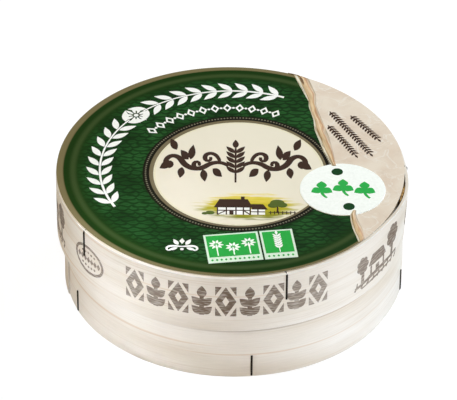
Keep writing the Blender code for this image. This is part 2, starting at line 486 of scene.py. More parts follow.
def stamping_ink():
    """Thin brown ink rolled on the veneer: it breaks along the grain and pales at each row's ends."""
    made, tree = new_material("stamping_ink_on_poplar")
    colour, fibre, strip = veneer_colour(tree)
    gaps = grain_noise(tree, strip, 3.0, 0.45, 1.0)
    even = add(tree, MAP, (gaps, 0.36, 0.54, 0.60, 0.94))
    middle = (STAMP_ROW_START - STRIP_START) * LID_DEGREE + STAMP_PITCH * STAMP_COUNT / 2.0
    around = 4.0 * pi / (STAMP_REPEAT * LID_DEGREE)
    past = add(tree, MATH, (add(tree, SEPARATE, (strip,)), middle), operation="SUBTRACT")
    wave = add(tree, MATH, (add(tree, MATH, (past, around), operation="MULTIPLY"),), operation="COSINE")
    press = add(tree, MAP, (wave, -1.0, 1.0, STAMP_PALEST, 1.0))
    cover = add(tree, MATH, (even, press), operation="MULTIPLY")
    inked = add(tree, MIX, {0: cover, 6: colour, 7: linear(STAMP_BROWN)}, 2, data_type="RGBA")
    close_material(tree, {"Base Color": inked, "Roughness": 0.60, "Specular IOR Level": 0.25}, fibre, 0.05)
    return made


def poplar_board():
    """Sawn poplar board: matt, with straight grain from side to side."""
    made, tree = new_material("poplar_board")
    place = place_in_mm(tree)
    broad = grain_noise(tree, place, 80.0, 9.0)
    streak = grain_noise(tree, place, 45.0, 0.8, 3.0)
    base = add(tree, RAMP, (broad,), stops=((0.35, BOARD_PALE), (0.75, BOARD_TAN)))
    shade = add(tree, MAP, (streak, 0.3, 0.7, 0.86, 1.05))
    colour = add(tree, MIX, {0: 1.0, 6: base, 7: shade}, 2, data_type="RGBA", blend_type="MULTIPLY")
    close_material(tree, {"Base Color": colour, "Roughness": 0.7, "Specular IOR Level": 0.3}, streak, 0.06)
    return made


def splinter_with_painted_gap_shade():
    """Torn poplar: ochre, with darker brown fibres along it; the darker browns are painted shade of the gap
    it stands in.
    """
    made, tree = new_material("torn_poplar_with_painted_shade")
    fibre = add(tree, NOISE, {"Vector": place_in_mm(tree), "Scale": 0.9, "Detail": 3.0})
    # Painted shade: the darker browns of the ramp stand in for the shade of the gap
    colour = add(tree, RAMP, (fibre,), stops=TORN_WOOD_AND_GAP_SHADE)
    close_material(tree, {"Base Color": colour, "Roughness": 0.7, "Specular IOR Level": 0.3}, fibre, 0.06)
    return made


def wave_field(tree, place):
    """Rows of small waves, each row shifted by half a wave."""
    x = add(tree, SEPARATE, (place,))
    y = add(tree, SEPARATE, (place,), 1)
    rows = add(tree, MATH, (y, WAVE_ROW), operation="DIVIDE")
    shift = add(tree, MATH, (add(tree, MATH, (rows,), operation="FLOOR"), 0.5 * pi), operation="MULTIPLY")
    sway = add(tree, NOISE, {"Vector": place, "Scale": 0.25, "Detail": 1.0})
    along = add(tree, MATH, (x, pi / WAVE_LENGTH, shift), operation="MULTIPLY_ADD")
    swayed = add(tree, MATH, (sway, WAVE_SWAY, along), operation="MULTIPLY_ADD")
    arch = add(tree, MATH, (add(tree, MATH, (swayed,), operation="SINE"),), operation="ABSOLUTE")
    phase = add(tree, MATH, (arch, WAVE_ARCH, rows), operation="MULTIPLY_ADD")
    turn = add(tree, MATH, (phase, 2.0 * pi), operation="MULTIPLY")
    return add(tree, MATH, (add(tree, MATH, (turn,), operation="SINE"), 0.5, 0.5), operation="MULTIPLY_ADD")


def tear_side(tree, place):
    """How far a point lies to the right of the line where the cream side starts, in millimetres."""
    x = add(tree, SEPARATE, (place,))
    y = add(tree, SEPARATE, (place,), 1)
    line = add(tree, MATH, (y, TEAR_SLOPE, TEAR_X), operation="MULTIPLY_ADD")
    return add(tree, MATH, (x, line), operation="SUBTRACT")


def green_print(tree, place, radius):
    """The dark green side of the label: waves inside, then an olive band and rim on plain green."""
    waves = wave_field(tree, place)
    clouds = add(tree, NOISE, {"Vector": place, "Scale": 0.09, "Detail": 1.0})
    depth = add(tree, MAP, (clouds, 0.35, 0.65, 0.35, 0.85))
    lit = add(tree, MATH, (waves, depth), operation="MULTIPLY")
    tone = add(tree, MATH, (clouds, 0.35, lit), operation="MULTIPLY_ADD")
    field = add(tree, RAMP, (tone,), stops=((0.10, FIELD_DARK), (0.42, FIELD_GREEN), (0.95, FIELD_LIGHT)))
    share = add(tree, MATH, (radius, LABEL_RADIUS), operation="DIVIDE")
    fade = 0.6 / LABEL_RADIUS
    band_start = BAND_START / LABEL_RADIUS
    band_end = BAND_END / LABEL_RADIUS
    olive_start = OLIVE_EDGE / LABEL_RADIUS
    rings = add(tree, RAMP, (share,), stops=(
        (band_start - fade, RING_GREEN), (band_start + fade, BAND_OLIVE), (band_end - fade, BAND_OLIVE),
        (band_end + fade, RING_GREEN), (olive_start - 0.004, RING_GREEN), (olive_start + 0.004, RIM_OLIVE)))
    outside = add(tree, MAP, (radius, BAND_START - 4.0, BAND_START, 0.0, 1.0))
    return add(tree, MIX, {0: outside, 6: field, 7: rings}, 2, data_type="RGBA")


def cream_print(tree, place):
    """The cream side of the label, printed like old paper with soft creases and pale veins."""
    clouds = add(tree, NOISE, {"Vector": place, "Scale": 0.11, "Detail": 3.0})
    creases = add(tree, NOISE, {"Vector": place, "Scale": 0.16, "Detail": 3.0})
    veins = add(tree, NOISE, {"Vector": place, "Scale": 0.10, "Detail": 4.0, "Distortion": 0.8})
    base = add(tree, RAMP, (clouds,), stops=((0.36, PARCHMENT), (0.64, PARCHMENT_SHADE)))
    fold = add(tree, MATH, (creases, 0.55), operation="SUBTRACT")
    near = add(tree, MAP, (add(tree, MATH, (fold,), operation="ABSOLUTE"), 0.0, 0.02, 0.955, 1.0))
    creased = add(tree, MIX, {0: 1.0, 6: base, 7: near}, 2, data_type="RGBA", blend_type="MULTIPLY")
    middle = add(tree, MATH, (veins, 0.5), operation="SUBTRACT")
    vein = add(tree, MAP, (add(tree, MATH, (middle,), operation="ABSOLUTE"), 0.0, 0.016, 0.75, 0.0))
    return add(tree, MIX, {0: vein, 6: creased, 7: linear(PARCHMENT_VEIN)}, 2, data_type="RGBA")


def printed_label():
    """Coated label paper, offset printed and varnished: satin and crisp, with a pale cut edge."""
    made, tree = new_material("offset_printed_label_paper")
    place = place_in_mm(tree)
    flat = add(tree, VECTOR, (place, (1.0, 1.0, 0.0)), operation="MULTIPLY")
    radius = add(tree, VECTOR, (flat, (PRINT_X, PRINT_Y, 0.0)), 1, operation="DISTANCE")
    cream_side = add(tree, MAP, (tear_side(tree, place), -0.1, 0.1, 0.0, 1.0))
    green = green_print(tree, place, radius)
    cream = cream_print(tree, place)
    face = add(tree, MIX, {0: cream_side, 6: green, 7: cream}, 2, data_type="RGBA")
    height = add(tree, SEPARATE, (place,), 2)
    cut = add(tree, MAP, (height, CUT_TOP - 0.01, CUT_TOP + 0.01, 1.0, 0.0))
    colour = add(tree, MIX, {0: cut, 6: face, 7: linear(PAPER_WHITE)}, 2, data_type="RGBA")
    close_print(tree, colour, paper_fibre(tree, place))
    return made


def medallion_print():
    """Cream print with a soft meadow: its edge fades out in strokes, as from a brush."""
    made, tree = new_material("offset_printed_medallion")
    place = place_in_mm(tree)
    middle = (-MEADOW_X / MEADOW_WIDE, -MEADOW_Y / MEADOW_HIGH, 0.0)
    squeeze = (1.0 / MEADOW_WIDE, 1.0 / MEADOW_HIGH, 0.0)
    centred = add(tree, PLACE, {"Vector": place, "Location": middle, "Scale": squeeze})
    reach = add(tree, VECTOR, (centred,), 1, operation="LENGTH")
    brush = grain_noise(tree, place, 6.0, 0.8, 2.0)
    edge = add(tree, MATH, (brush, 0.9, reach), operation="MULTIPLY_ADD")
    meadow = add(tree, MAP, (edge, 1.15, 1.50, 1.0, 0.0), interpolation_type="SMOOTHSTEP")
    height = add(tree, SEPARATE, (place,), 1)
    tone = add(tree, MATH, (brush, 6.0, height), operation="MULTIPLY_ADD")
    share = add(tree, MAP, (tone, MEADOW_FRONT, MEADOW_BACK, 0.0, 1.0))
    grass = add(tree, RAMP, (share,), stops=GRASS)
    mottle = add(tree, NOISE, {"Vector": place, "Scale": 0.08, "Detail": 2.0})
    paper = add(tree, RAMP, (mottle,), stops=((0.3, CREAM), (0.8, CREAM_LIGHT)))
    colour = add(tree, MIX, {0: meadow, 6: paper, 7: grass}, 2, data_type="RGBA")
    close_print(tree, colour, paper_fibre(tree, place))
    return made


def offset_ink(name, code):
    """One ink of the print: satin, a little uneven where the paper's fibres take it up."""
    made, tree = new_material(name)
    fibre = paper_fibre(tree, place_in_mm(tree))
    cover = add(tree, MAP, (fibre, 0.3, 0.7, 0.95, 1.03))
    colour = add(tree, MIX, {0: 1.0, 6: linear(code), 7: cover}, 2, data_type="RGBA", blend_type="MULTIPLY")
    close_print(tree, colour, fibre)
    return made


def torn_strand():
    """Torn paper and a strand like raffia: a pale strip at the left, then tan with brown folds."""
    made, tree = new_material("raffia_strand")
    strip = add(tree, "ShaderNodeUVMap", uv_map="grain")
    across = add(tree, SEPARATE, (strip,), 1)
    folds = grain_noise(tree, strip, 9.0, 0.5, 2.0)
    aside = add(tree, MATH, (folds, 0.5), operation="SUBTRACT")
    share = add(tree, MATH, (aside, 0.75, across), operation="MULTIPLY_ADD")
    tan = add(tree, RAMP, (share,), stops=STRAND_FOLDS)
    torn = add(tree, MAP, (across, STRIP_SHARE - 0.05, STRIP_SHARE + 0.01, 1.0, 0.0))
    threads = grain_noise(tree, strip, 5.0, 0.07, 2.0)
    paper = add(tree, RAMP, (threads,), stops=TORN_PAPER)
    base = add(tree, MIX, {0: torn, 6: tan, 7: paper}, 2, data_type="RGBA")
    fibre = grain_noise(tree, strip, 6.0, 0.05, 2.0)
    shade = add(tree, MAP, (fibre, 0.3, 0.7, 0.84, 1.06))
    patches = grain_noise(tree, strip, 7.0, 0.8, 1.0)
    tone = add(tree, MAP, (patches, 0.35, 0.65, 0.86, 1.06))
    both = add(tree, MATH, (shade, tone), operation="MULTIPLY")
    shaded = add(tree, MIX, {0: 1.0, 6: base, 7: both}, 2, data_type="RGBA", blend_type="MULTIPLY")
    squeezed = add(tree, PLACE, {"Vector": strip, "Scale": (1.0 / FLECK_LONG, 1.0 / FLECK_WIDE, 0.0)})
    centre = (FLECK_PLACE / FLECK_LONG, FLECK_SHARE / FLECK_WIDE, 0.0)
    reach = add(tree, VECTOR, (squeezed, centre), 1, operation="DISTANCE")
    fleck = add(tree, MAP, (reach, 0.5, 1.0, 0.85, 0.0), interpolation_type="SMOOTHSTEP")
    colour = add(tree, MIX, {0: fleck, 6: shaded, 7: linear(STRAND_FLECK)}, 2, data_type="RGBA")
    close_material(tree, {"Base Color": colour, "Roughness": 0.5, "Specular IOR Level": 0.3}, fibre, 0.04)
    return made


def staple_wire():
    """Drawn steel wire, dull and dark, with fine marks from the die."""
    made, tree = new_material("drawn_steel_wire")
    place = place_in_mm(tree)
    marks = add(tree, NOISE, {"Vector": place, "Scale": 2.5, "Detail": 2.0})
    colour = add(tree, RAMP, (marks,), stops=STEEL_MARKS)
    rough = add(tree, MAP, (marks, 0.3, 0.7, 0.36, 0.52))
    close_material(tree, {"Base Color": colour, "Metallic": 1.0, "Roughness": rough}, marks, 0.02)
    return made


def studio_floor():
    """White studio table lit from below, so that the camera sees it almost free of shadows."""
    made, tree = new_material("white_light_table")
    matt = add(tree, "ShaderNodeBsdfDiffuse", (linear(TABLE_WHITE),))
    glow = add(tree, "ShaderNodeEmission", (linear(GLOW_WHITE), TABLE_GLOW))
    seen = add(tree, "ShaderNodeLightPath")
    share = add(tree, MATH, (seen, TABLE_SHARE), operation="MULTIPLY")
    mixed = add(tree, "ShaderNodeMixShader", (share, matt, glow))
    add(tree, "ShaderNodeOutputMaterial", (mixed,))
    return made


# Pieces

def finish_piece(name, mesh, finish=None, replaces=(), sharp=35.0):
    """Turn a mesh in millimetres into a piece that rides on the box."""
    mesh.transform(Matrix.Scale(MM, 4))
    if finish:
        mesh.materials.append(finish)
    mesh.shade_smooth()
    mesh.set_sharp_from_angle(angle=radians(sharp))
    mesh.name = name
    piece = bpy.data.objects.new(name, mesh)
    bpy.context.scene.collection.objects.link(piece)
    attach(piece, "root")
    if replaces:
        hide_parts(*replaces)
    return piece


def to_mesh(bm):
    """Turn a bmesh into a mesh."""
    mesh = bpy.data.meshes.new("piece")
    bm.to_mesh(mesh)
    bm.free()
    return mesh


def turned(profile, sides, centre, shape=None):
    """A closed solid turned from (radius, height) points that start and end on the axis."""
    bm = bmesh.new()
    rings = []
    for radius, height in profile:
        count = sides if radius > 0.0 else 1
        ring = []
        for side in range(count):
            angle = 2.0 * pi * side / sides
            x = centre[0] + radius * cos(angle)
            y = centre[1] + radius * sin(angle)
            ring.append(bm.verts.new((x, y, height)))
        rings.append(ring)
    for upper, lower in zip(rings, rings[1:]):
        for side in range(sides):
            after = (side + 1) % sides
            corners = [upper[side % len(upper)], lower[side % len(lower)], lower[after % len(lower)],
                       upper[after % len(upper)]]
            bm.faces.new(list(dict.fromkeys(corners)))
    if shape:
        for corner in bm.verts:
            shape(corner)
    bmesh.ops.recalc_face_normals(bm, faces=bm.faces)
    return to_mesh(bm)


# Geometry trees

def new_tree(name, floats, integers=()):
    """Start a geometry tree with named inputs; the second result holds their sockets."""
    tree = bpy.data.node_groups.new(name, "GeometryNodeTree")
    sockets = [("Geometry", "NodeSocketGeometry"), ("Material", "NodeSocketMaterial")]
    sockets += [(label, "NodeSocketFloat") for label in floats]
    sockets += [(label, "NodeSocketInt") for label in integers]
    for label, kind in sockets:
        tree.interface.new_socket(label, in_out="INPUT", socket_type=kind)
    tree.interface.new_socket("Geometry", in_out="OUTPUT", socket_type="NodeSocketGeometry")
    return tree, tree.nodes.new("NodeGroupInput").outputs


def end_tree(tree, sizes, shape):
    """End a tree in real faces that carry its material."""
    real = add(tree, "GeometryNodeRealizeInstances", (shape,))
    done = add(tree, "GeometryNodeSetMaterial", {"Geometry": real, "Material": sizes["Material"]})
    add(tree, "NodeGroupOutput", (done,))
    return tree


def grow(tree, finish, values, source=None):
    """Run a tree with its inputs set, and return what it makes as a plain mesh."""
    carrier = bpy.data.objects.new(tree.name, source or bpy.data.meshes.new(tree.name))
    bpy.context.scene.collection.objects.link(carrier)
    modifier = carrier.modifiers.new(tree.name, "NODES")
    modifier.node_group = tree
    values = {"Material": finish, **values}
    for socket in tree.interface.items_tree:
        if socket.in_out == "INPUT" and socket.name in values:
            modifier[socket.identifier] = values[socket.name]
    depsgraph = bpy.context.evaluated_depsgraph_get()
    evaluated = carrier.evaluated_get(depsgraph)
    mesh = bpy.data.meshes.new_from_object(evaluated, preserve_all_data_layers=True, depsgraph=depsgraph)
    bpy.data.objects.remove(carrier, do_unlink=True)
    return mesh


def bend_round(tree, sizes, turn, share, height):
    """Add the rule of a hoop: where a point of its strip lies once the strip is bent round.

    Turn is counted in degrees from the strip's inner end, and share runs from 0 at its inner
    face to 1 at its outer face. The second result is the point's angle in radians.
    """
    thick = add(tree, MAP, (turn, 0.0, LAP, LAP_TIP, VENEER))
    thinned = add(tree, MAP, (turn, 360.0, STRIP_END, 0.0, VENEER - LAP_TIP))
    lift = add(tree, MAP, (turn, 360.0 - LAP_RAMP, 360.0, 0.0, LAP_RISE), interpolation_type="SMOOTHSTEP")
    depth = add(tree, MAP, (share, 0.0, 1.0, thinned, thick), clamp=False)
    inside = add(tree, MATH, (sizes["Radius"], VENEER), operation="SUBTRACT")
    reach = add(tree, MATH, (inside, depth), operation="ADD")
    reach = add(tree, MATH, (reach, lift), operation="ADD")

    start = add(tree, MATH, (sizes["Seam"], LAP), operation="SUBTRACT")
    angle = add(tree, MATH, (turn, start), operation="ADD")
    from_middle = add(tree, MATH, (angle, sizes["Swell Middle"]), operation="SUBTRACT")
    wrapped = add(tree, MATH, (from_middle, 180.0, -180.0), operation="WRAP")
    away = add(tree, MATH, (wrapped,), operation="ABSOLUTE")
    bell_turn = add(tree, MAP, (away, 0.0, sizes["Swell Reach"], 0.0, pi))
    bell = add(tree, MATH, (add(tree, MATH, (bell_turn,), operation="COSINE"), 1.0), operation="ADD")
    swell = add(tree, MAP, (height, sizes["End Height"], sizes["Full Height"], 0.0, sizes["Swell"]))
    half_swell = add(tree, MATH, (swell, 0.5), operation="MULTIPLY")
    reach = add(tree, MATH, (bell, half_swell, reach), operation="MULTIPLY_ADD")

    turn_place = add(tree, MATH, (turn, 1.0 / WOBBLE_LENGTH), operation="MULTIPLY")
    height_place = add(tree, MATH, (height, 1.0 / WOBBLE_LENGTH), operation="MULTIPLY")
    place = add(tree, COMBINE, (turn_place, height_place))
    noise = add(tree, NOISE, {"Vector": place, "Scale": 1.0, "Detail": 1.0})
    wobble = add(tree, MAP, (noise, 0.3, 0.7, -WOBBLE, WOBBLE), clamp=False)
    reach = add(tree, MATH, (reach, wobble), operation="ADD")

    leaning = (height, LEAN_START, LEAN_END, 0.0, sizes["Lean"])
    lean = add(tree, MAP, leaning, interpolation_type="SMOOTHSTEP")
    shut = add(tree, MATH, (reach, lean), operation="SUBTRACT")
    turned_by = add(tree, MATH, (angle,), operation="RADIANS")
    sine = add(tree, MATH, (turned_by,), operation="SINE")
    cosine = add(tree, MATH, (turned_by,), operation="COSINE")
    centre = add(tree, MATH, (sizes["Centre X"], lean), operation="SUBTRACT")
    x = add(tree, MATH, (cosine, shut, centre), operation="MULTIPLY_ADD")
    y = add(tree, MATH, (sine, shut), operation="MULTIPLY")
    return add(tree, COMBINE, (x, y, height)), turned_by


def add_grain(tree, sizes, shape, turn, height):
    """Store where each point lies along and up the strip, for the grain."""
    per_degree = add(tree, MATH, (sizes["Radius"], pi / 180.0), operation="MULTIPLY")
    along = add(tree, MATH, (turn, per_degree), operation="MULTIPLY")
    grain = {"Geometry": shape, "Name": "grain", "Value": add(tree, COMBINE, (along, height))}
    return add(tree, "GeometryNodeStoreNamedAttribute", grain, data_type="FLOAT2", domain="CORNER")


def hoop_tree():
    """A strip of veneer, from a block whose axes are turn, share and height."""
    tree, sizes = new_tree("hoop", HOOP_SIZES + ("Bottom", "Top"), ("Turn Points", "Height Points"))
    tall = add(tree, MATH, (sizes["Top"], sizes["Bottom"]), operation="SUBTRACT")
    block = add(tree, "GeometryNodeMeshCube", {
        "Size": add(tree, COMBINE, (STRIP_END, 1.0, tall)),
        "Vertices X": sizes["Turn Points"],
        "Vertices Y": 2,
        "Vertices Z": sizes["Height Points"],
    })
    point = add(tree, "GeometryNodeInputPosition")
    turn = add(tree, MATH, (add(tree, SEPARATE, (point,)), STRIP_END / 2.0), operation="ADD")
    share = add(tree, MATH, (add(tree, SEPARATE, (point,), 1), 0.5), operation="ADD")
    middle = add(tree, MATH, (tall, 0.5, sizes["Bottom"]), operation="MULTIPLY_ADD")
    height = add(tree, MATH, (add(tree, SEPARATE, (point,), 2), middle), operation="ADD")
    grained = add_grain(tree, sizes, block, turn, height)
    where, _ = bend_round(tree, sizes, turn, share, height)
    bent = add(tree, "GeometryNodeSetPosition", {"Geometry": grained, "Position": where})
    return end_tree(tree, sizes, bent)


def stamp_tree():
    """Flat stamps, drawn as (angle, share, height), bent on to the lid's strip."""
    tree, sizes = new_tree("stamps", HOOP_SIZES)
    point = add(tree, "GeometryNodeInputPosition")
    start = add(tree, MATH, (sizes["Seam"], LAP), operation="SUBTRACT")
    turn = add(tree, MATH, (add(tree, SEPARATE, (point,)), start), operation="SUBTRACT")
    share = add(tree, SEPARATE, (point,), 1)
    height = add(tree, SEPARATE, (point,), 2)
    grained = add_grain(tree, sizes, sizes["Geometry"], turn, height)
    where, _ = bend_round(tree, sizes, turn, share, height)
    bent = add(tree, "GeometryNodeSetPosition", {"Geometry": grained, "Position": where})
    return end_tree(tree, sizes, bent)


def staple_tree():
    """Wire staples spread round a hoop, each swept along a bent line and set on the strip's face."""
    angles = [f"Angle {number + 1}" for number in range(len(LID_STAPLE_ANGLES))]
    tree, sizes = new_tree("staples", HOOP_SIZES + ("Face", "Wire Radius", "Bend", *angles))
    line = add(tree, "GeometryNodeMeshToCurve", {"Mesh": sizes["Geometry"]})
    bend = {"Curve": line, "Count": BEND_STEPS, "Radius": sizes["Bend"]}
    bent = add(tree, "GeometryNodeFilletCurve", bend, mode="POLY")
    section = {"Resolution": WIRE_SIDES, "Radius": sizes["Wire Radius"]}
    round_wire = add(tree, "GeometryNodeCurvePrimitiveCircle", section)
    sweep = {"Curve": bent, "Profile Curve": round_wire, "Fill Caps": True}
    wire = add(tree, "GeometryNodeCurveToMesh", sweep)
    index = add(tree, "GeometryNodeInputIndex")
    angle = 0.0
    for number, label in enumerate(angles):
        chosen = add(tree, MATH, (index, float(number), 0.5), operation="COMPARE")
        angle = add(tree, MATH, (chosen, sizes[label], angle), operation="MULTIPLY_ADD")
    start = add(tree, MATH, (sizes["Seam"], LAP), operation="SUBTRACT")
    past = add(tree, MATH, (angle, start), operation="SUBTRACT")
    turn = add(tree, MATH, (past, STRIP_END, LAP), operation="WRAP")
    where, turned_by = bend_round(tree, sizes, turn, 1.0, sizes["Face"])
    points = add(tree, "GeometryNodePoints", {"Count": len(angles), "Position": where})
    facing = add(tree, "FunctionNodeEulerToRotation", (add(tree, COMBINE, (0.0, 0.0, turned_by)),))
    ring = add(tree, "GeometryNodeInstanceOnPoints",
               {"Points": points, "Instance": wire, "Rotation": facing})
    return end_tree(tree, sizes, ring)


def arc_tree():
    """Copies of a small motif spread along an arc, each turned with it."""
    tree, sizes = new_tree("arc_of_motifs", ("Centre X", "Centre Y", "Radius", "Start", "End"), ("Count",))
    last = add(tree, MATH, (sizes["Count"], 1.0), operation="SUBTRACT")
    spread = add(tree, MATH, (sizes["End"], sizes["Start"]), operation="SUBTRACT")
    step = add(tree, MATH, (spread, last), operation="DIVIDE")
    index = add(tree, "GeometryNodeInputIndex")
    angle = add(tree, MATH, (index, step, sizes["Start"]), operation="MULTIPLY_ADD")
    turned_by = add(tree, MATH, (angle,), operation="RADIANS")
    sine = add(tree, MATH, (turned_by,), operation="SINE")
    cosine = add(tree, MATH, (turned_by,), operation="COSINE")
    x = add(tree, MATH, (cosine, sizes["Radius"], sizes["Centre X"]), operation="MULTIPLY_ADD")
    y = add(tree, MATH, (sine, sizes["Radius"], sizes["Centre Y"]), operation="MULTIPLY_ADD")
    where = add(tree, COMBINE, (x, y, 0.0))
    points = add(tree, "GeometryNodePoints", {"Count": sizes["Count"], "Position": where})
    facing = add(tree, "FunctionNodeEulerToRotation", (add(tree, COMBINE, (0.0, 0.0, turned_by)),))
    copies = add(tree, "GeometryNodeInstanceOnPoints",
                 {"Points": points, "Instance": sizes["Geometry"], "Rotation": facing})
    return end_tree(tree, sizes, copies)


# Flat shapes of the print and of the stamping, as lists of (x, y)

def moved(points, x=0.0, y=0.0, turn=0.0, size=1.0):
    """Scale, turn and move some points."""
    c = size * cos(radians(turn))
    s = size * sin(radians(turn))
    return [(x + px * c - py * s, y + px * s + py * c) for px, py in points]


def ellipse(wide, high, sides):
    """An ellipse by its two radii."""
    turns = [2.0 * pi * side / sides for side in range(sides)]
    return [(wide * cos(turn), high * sin(turn)) for turn in turns]


def rectangle(x0, y0, x1, y1):
    """A rectangle by two of its corners."""
    return [(x0, y0), (x1, y0), (x1, y1), (x0, y1)]


def lozenge(wide, high):
    """A lozenge by its two half sizes."""
    return [(wide, 0.0), (0.0, high), (-wide, 0.0), (0.0, -high)]


def leaf(length, width, steps=8):
    """A pointed leaf that grows along +X from the origin."""
    upper = []
    for step in range(1, steps):
        share = step / steps
        upper.append((length * share, width / 2.0 * sin(pi * share ** 0.85)))
    lower = [(px, -py) for px, py in reversed(upper)]
    return [(0.0, 0.0)] + lower[::-1] + [(length, 0.0)] + upper[::-1]


def curl(start, heading, bends, step=0.5):
    """Points of a line with bends, each a length and its curvature at both ends in degrees a millimetre."""
    x, y = start
    points = [(x, y)]
    for length, first, last in bends:
        count = max(int(length / step), 1)
        for index in range(count):
            heading += (first + (last - first) * (index + 0.5) / count) * length / count
            x += cos(radians(heading)) * length / count
            y += sin(radians(heading)) * length / count
            points.append((x, y))
    return points


def level(bm):
    """The height for the next shape of an ink."""
    return LEVEL_STEP * (len(bm.faces) % LEVELS)


def fill(bm, points):
    """Add one flat shape."""
    height = level(bm)
    bm.faces.new([bm.verts.new((x, y, height)) for x, y in points])


def band(bm, outer, inner):
    """Add the closed band between two outlines of as many points."""
    height = level(bm)
    outside = [bm.verts.new((x, y, height)) for x, y in outer]
    inside = [bm.verts.new((x, y, height)) for x, y in inner]
    for place in range(len(outer)):
        after = (place + 1) % len(outer)
        bm.faces.new((outside[place], outside[after], inside[after], inside[place]))


def stroke(bm, points, widths):
    """Add a line whose width runs through its widths at the start, the middle and the end."""
    first, middle, end = widths
    bulge = middle - (first + end) / 2.0
    height = level(bm)
    last = len(points) - 1
    rows = []
    for index, (x, y) in enumerate(points):
        before = points[max(index - 1, 0)]
        after = points[min(index + 1, last)]
        run = hypot(after[0] - before[0], after[1] - before[1])
        across = (-(after[1] - before[1]) / run, (after[0] - before[0]) / run)
        share = index / last
        half = (first + (end - first) * share + bulge * sin(pi * share)) / 2.0
        rows.append([bm.verts.new((x + side * half * across[0], y + side * half * across[1], height))
                     for side in (-1.0, 1.0)])
    for here, then in zip(rows, rows[1:]):
        bm.faces.new((here[0], then[0], then[1], here[1]))


def wheat_ear(bm, x, y, turn, size, pairs=5):
    """An ear of wheat that grows along +X: pairs of grains, one at the tip, and its stalk."""
    tip = 3.2 + 1.7 * pairs
    stroke(bm, moved([(tip * step / 4.0, 0.0) for step in range(5)], x, y, turn, size), (0.4 * size,) * 3)
    for pair in range(pairs):
        along = 3.2 + 1.7 * pair
        for side in (-1.0, 1.0):
            grain = moved(leaf(3.0, 1.15), along, side * 0.1, side * 38.0)
            fill(bm, moved(grain, x, y, turn, size))
    fill(bm, moved(moved(leaf(3.0, 1.3), tip), x, y, turn, size))


def daisy(bm, x, y, size, petals=9, wide=1.15):
    """A flower of narrow petals round a gap."""
    for petal in range(petals):
        fill(bm, moved(moved(leaf(2.6, wide), 0.85, 0.0), x, y, 360.0 * petal / petals, size))


def sprig(bm, x, y, turn, size, leaves=3):
    """A stalk with leaves in pairs and one at the tip, along +X."""
    length = 2.2 * leaves + 1.5
    stalk = [(length * step / 6.0, 0.5 * sin(pi * step / 6.0)) for step in range(7)]
    stroke(bm, moved(stalk, x, y, turn, size), (0.7 * size, 0.6 * size, 0.5 * size))
    for pair in range(leaves):
        for side in (-1.0, 1.0):
            blade = moved(leaf(3.0, 1.3), 1.2 + 2.2 * pair, 0.3, side * 48.0)
            fill(bm, moved(blade, x, y, turn, size))
    fill(bm, moved(moved(leaf(3.0, 1.3), length - 0.3), x, y, turn, size))


# The print on the label

def label_level(x, y):
    """Height of the label's face: it bends down near its edge."""
    reach = hypot(x - LABEL_X, y - LABEL_Y)
    return TOP - LABEL_DROP * smooth_step((reach - LABEL_RADIUS + LABEL_BEND) / LABEL_BEND)


def thicken(bm, depth):
    """Give flat shapes a thickness below them, as closed solids."""
    sheet = bm.faces[:] + bm.edges[:]
    grown = bmesh.ops.extrude_face_region(bm, geom=sheet)["geom"]
    corners = [item for item in grown if isinstance(item, bmesh.types.BMVert)]
    bmesh.ops.translate(bm, verts=corners, vec=(0.0, 0.0, -depth))
    bmesh.ops.recalc_face_normals(bm, faces=bm.faces)


def lay_on_label(mesh, layer):
    """Lift a print drawn round height 0 on to the label, on that layer of ink."""
    for corner in mesh.vertices:
        corner.co.z += label_level(corner.co.x, corner.co.y) + layer * INK
    return mesh


def print_ink(name, bm, layer, finish):
    """Finish one ink of the print on the label."""
    thicken(bm, 2.0 * INK)
    return finish_piece(name, lay_on_label(to_mesh(bm), layer), finish)


def print_arc(name, tree, bm, layer, finish, centre, radius, start, end, count):
    """Finish a motif that repeats along an arc on the label; a flat one is thickened first."""
    if any(edge.is_boundary for edge in bm.edges):
        thicken(bm, 2.0 * INK)
    values = {"Centre X": centre[0], "Centre Y": centre[1], "Radius": radius, "Start": start, "End": end,
              "Count": count}
    return finish_piece(name, lay_on_label(grow(tree, finish, values, to_mesh(bm)), layer))


def label_sheet(finish):
    """The label's paper, with its edge pressed down."""
    rings = [0.0, 20.0, 40.0] + [LABEL_RADIUS - LABEL_BEND + LABEL_BEND * step / 8.0 for step in range(9)]
    upper = [(radius, label_level(LABEL_X + radius, LABEL_Y)) for radius in rings]
    lower = [(radius, height - PAPER) for radius, height in reversed(upper)]
    mesh = turned(upper + lower, 240, (LABEL_X, LABEL_Y))
    return finish_piece("label_paper", mesh, finish, ["lid_label"])


def medallion(inks, arcs):
    """The medallion: black ring with beads, olive ring, and the cream print inside."""
    centre = (MEDALLION_X, MEDALLION_Y)
    inside = (CREAM_X, CREAM_Y)
    discs = (("black", centre, MEDALLION_EDGE, 1, "black"), ("olive", centre, OLIVE_RING, 2, "olive"),
             ("pale_edge", inside, CREAM_EDGE, 3, "pale"), ("cream", inside, CREAM_INSIDE, 4, "meadow"))
    for name, middle, radius, layer, ink in discs:
        bm = bmesh.new()
        fill(bm, moved(ellipse(radius, radius, 180), *middle))
        print_ink(f"medallion_{name}", bm, layer, inks[ink])
    bead = bmesh.new()
    bmesh.ops.create_uvsphere(bead, u_segments=8, v_segments=5, radius=BEAD_RADIUS)
    bmesh.ops.scale(bead, verts=bead.verts, vec=(1.0, 1.0, 0.3))
    last = 360.0 - 360.0 / BEAD_COUNT
    print_arc("medallion_beads", arcs, bead, 1, inks["bead"], centre, BEAD_RING, 0.0, last, BEAD_COUNT)


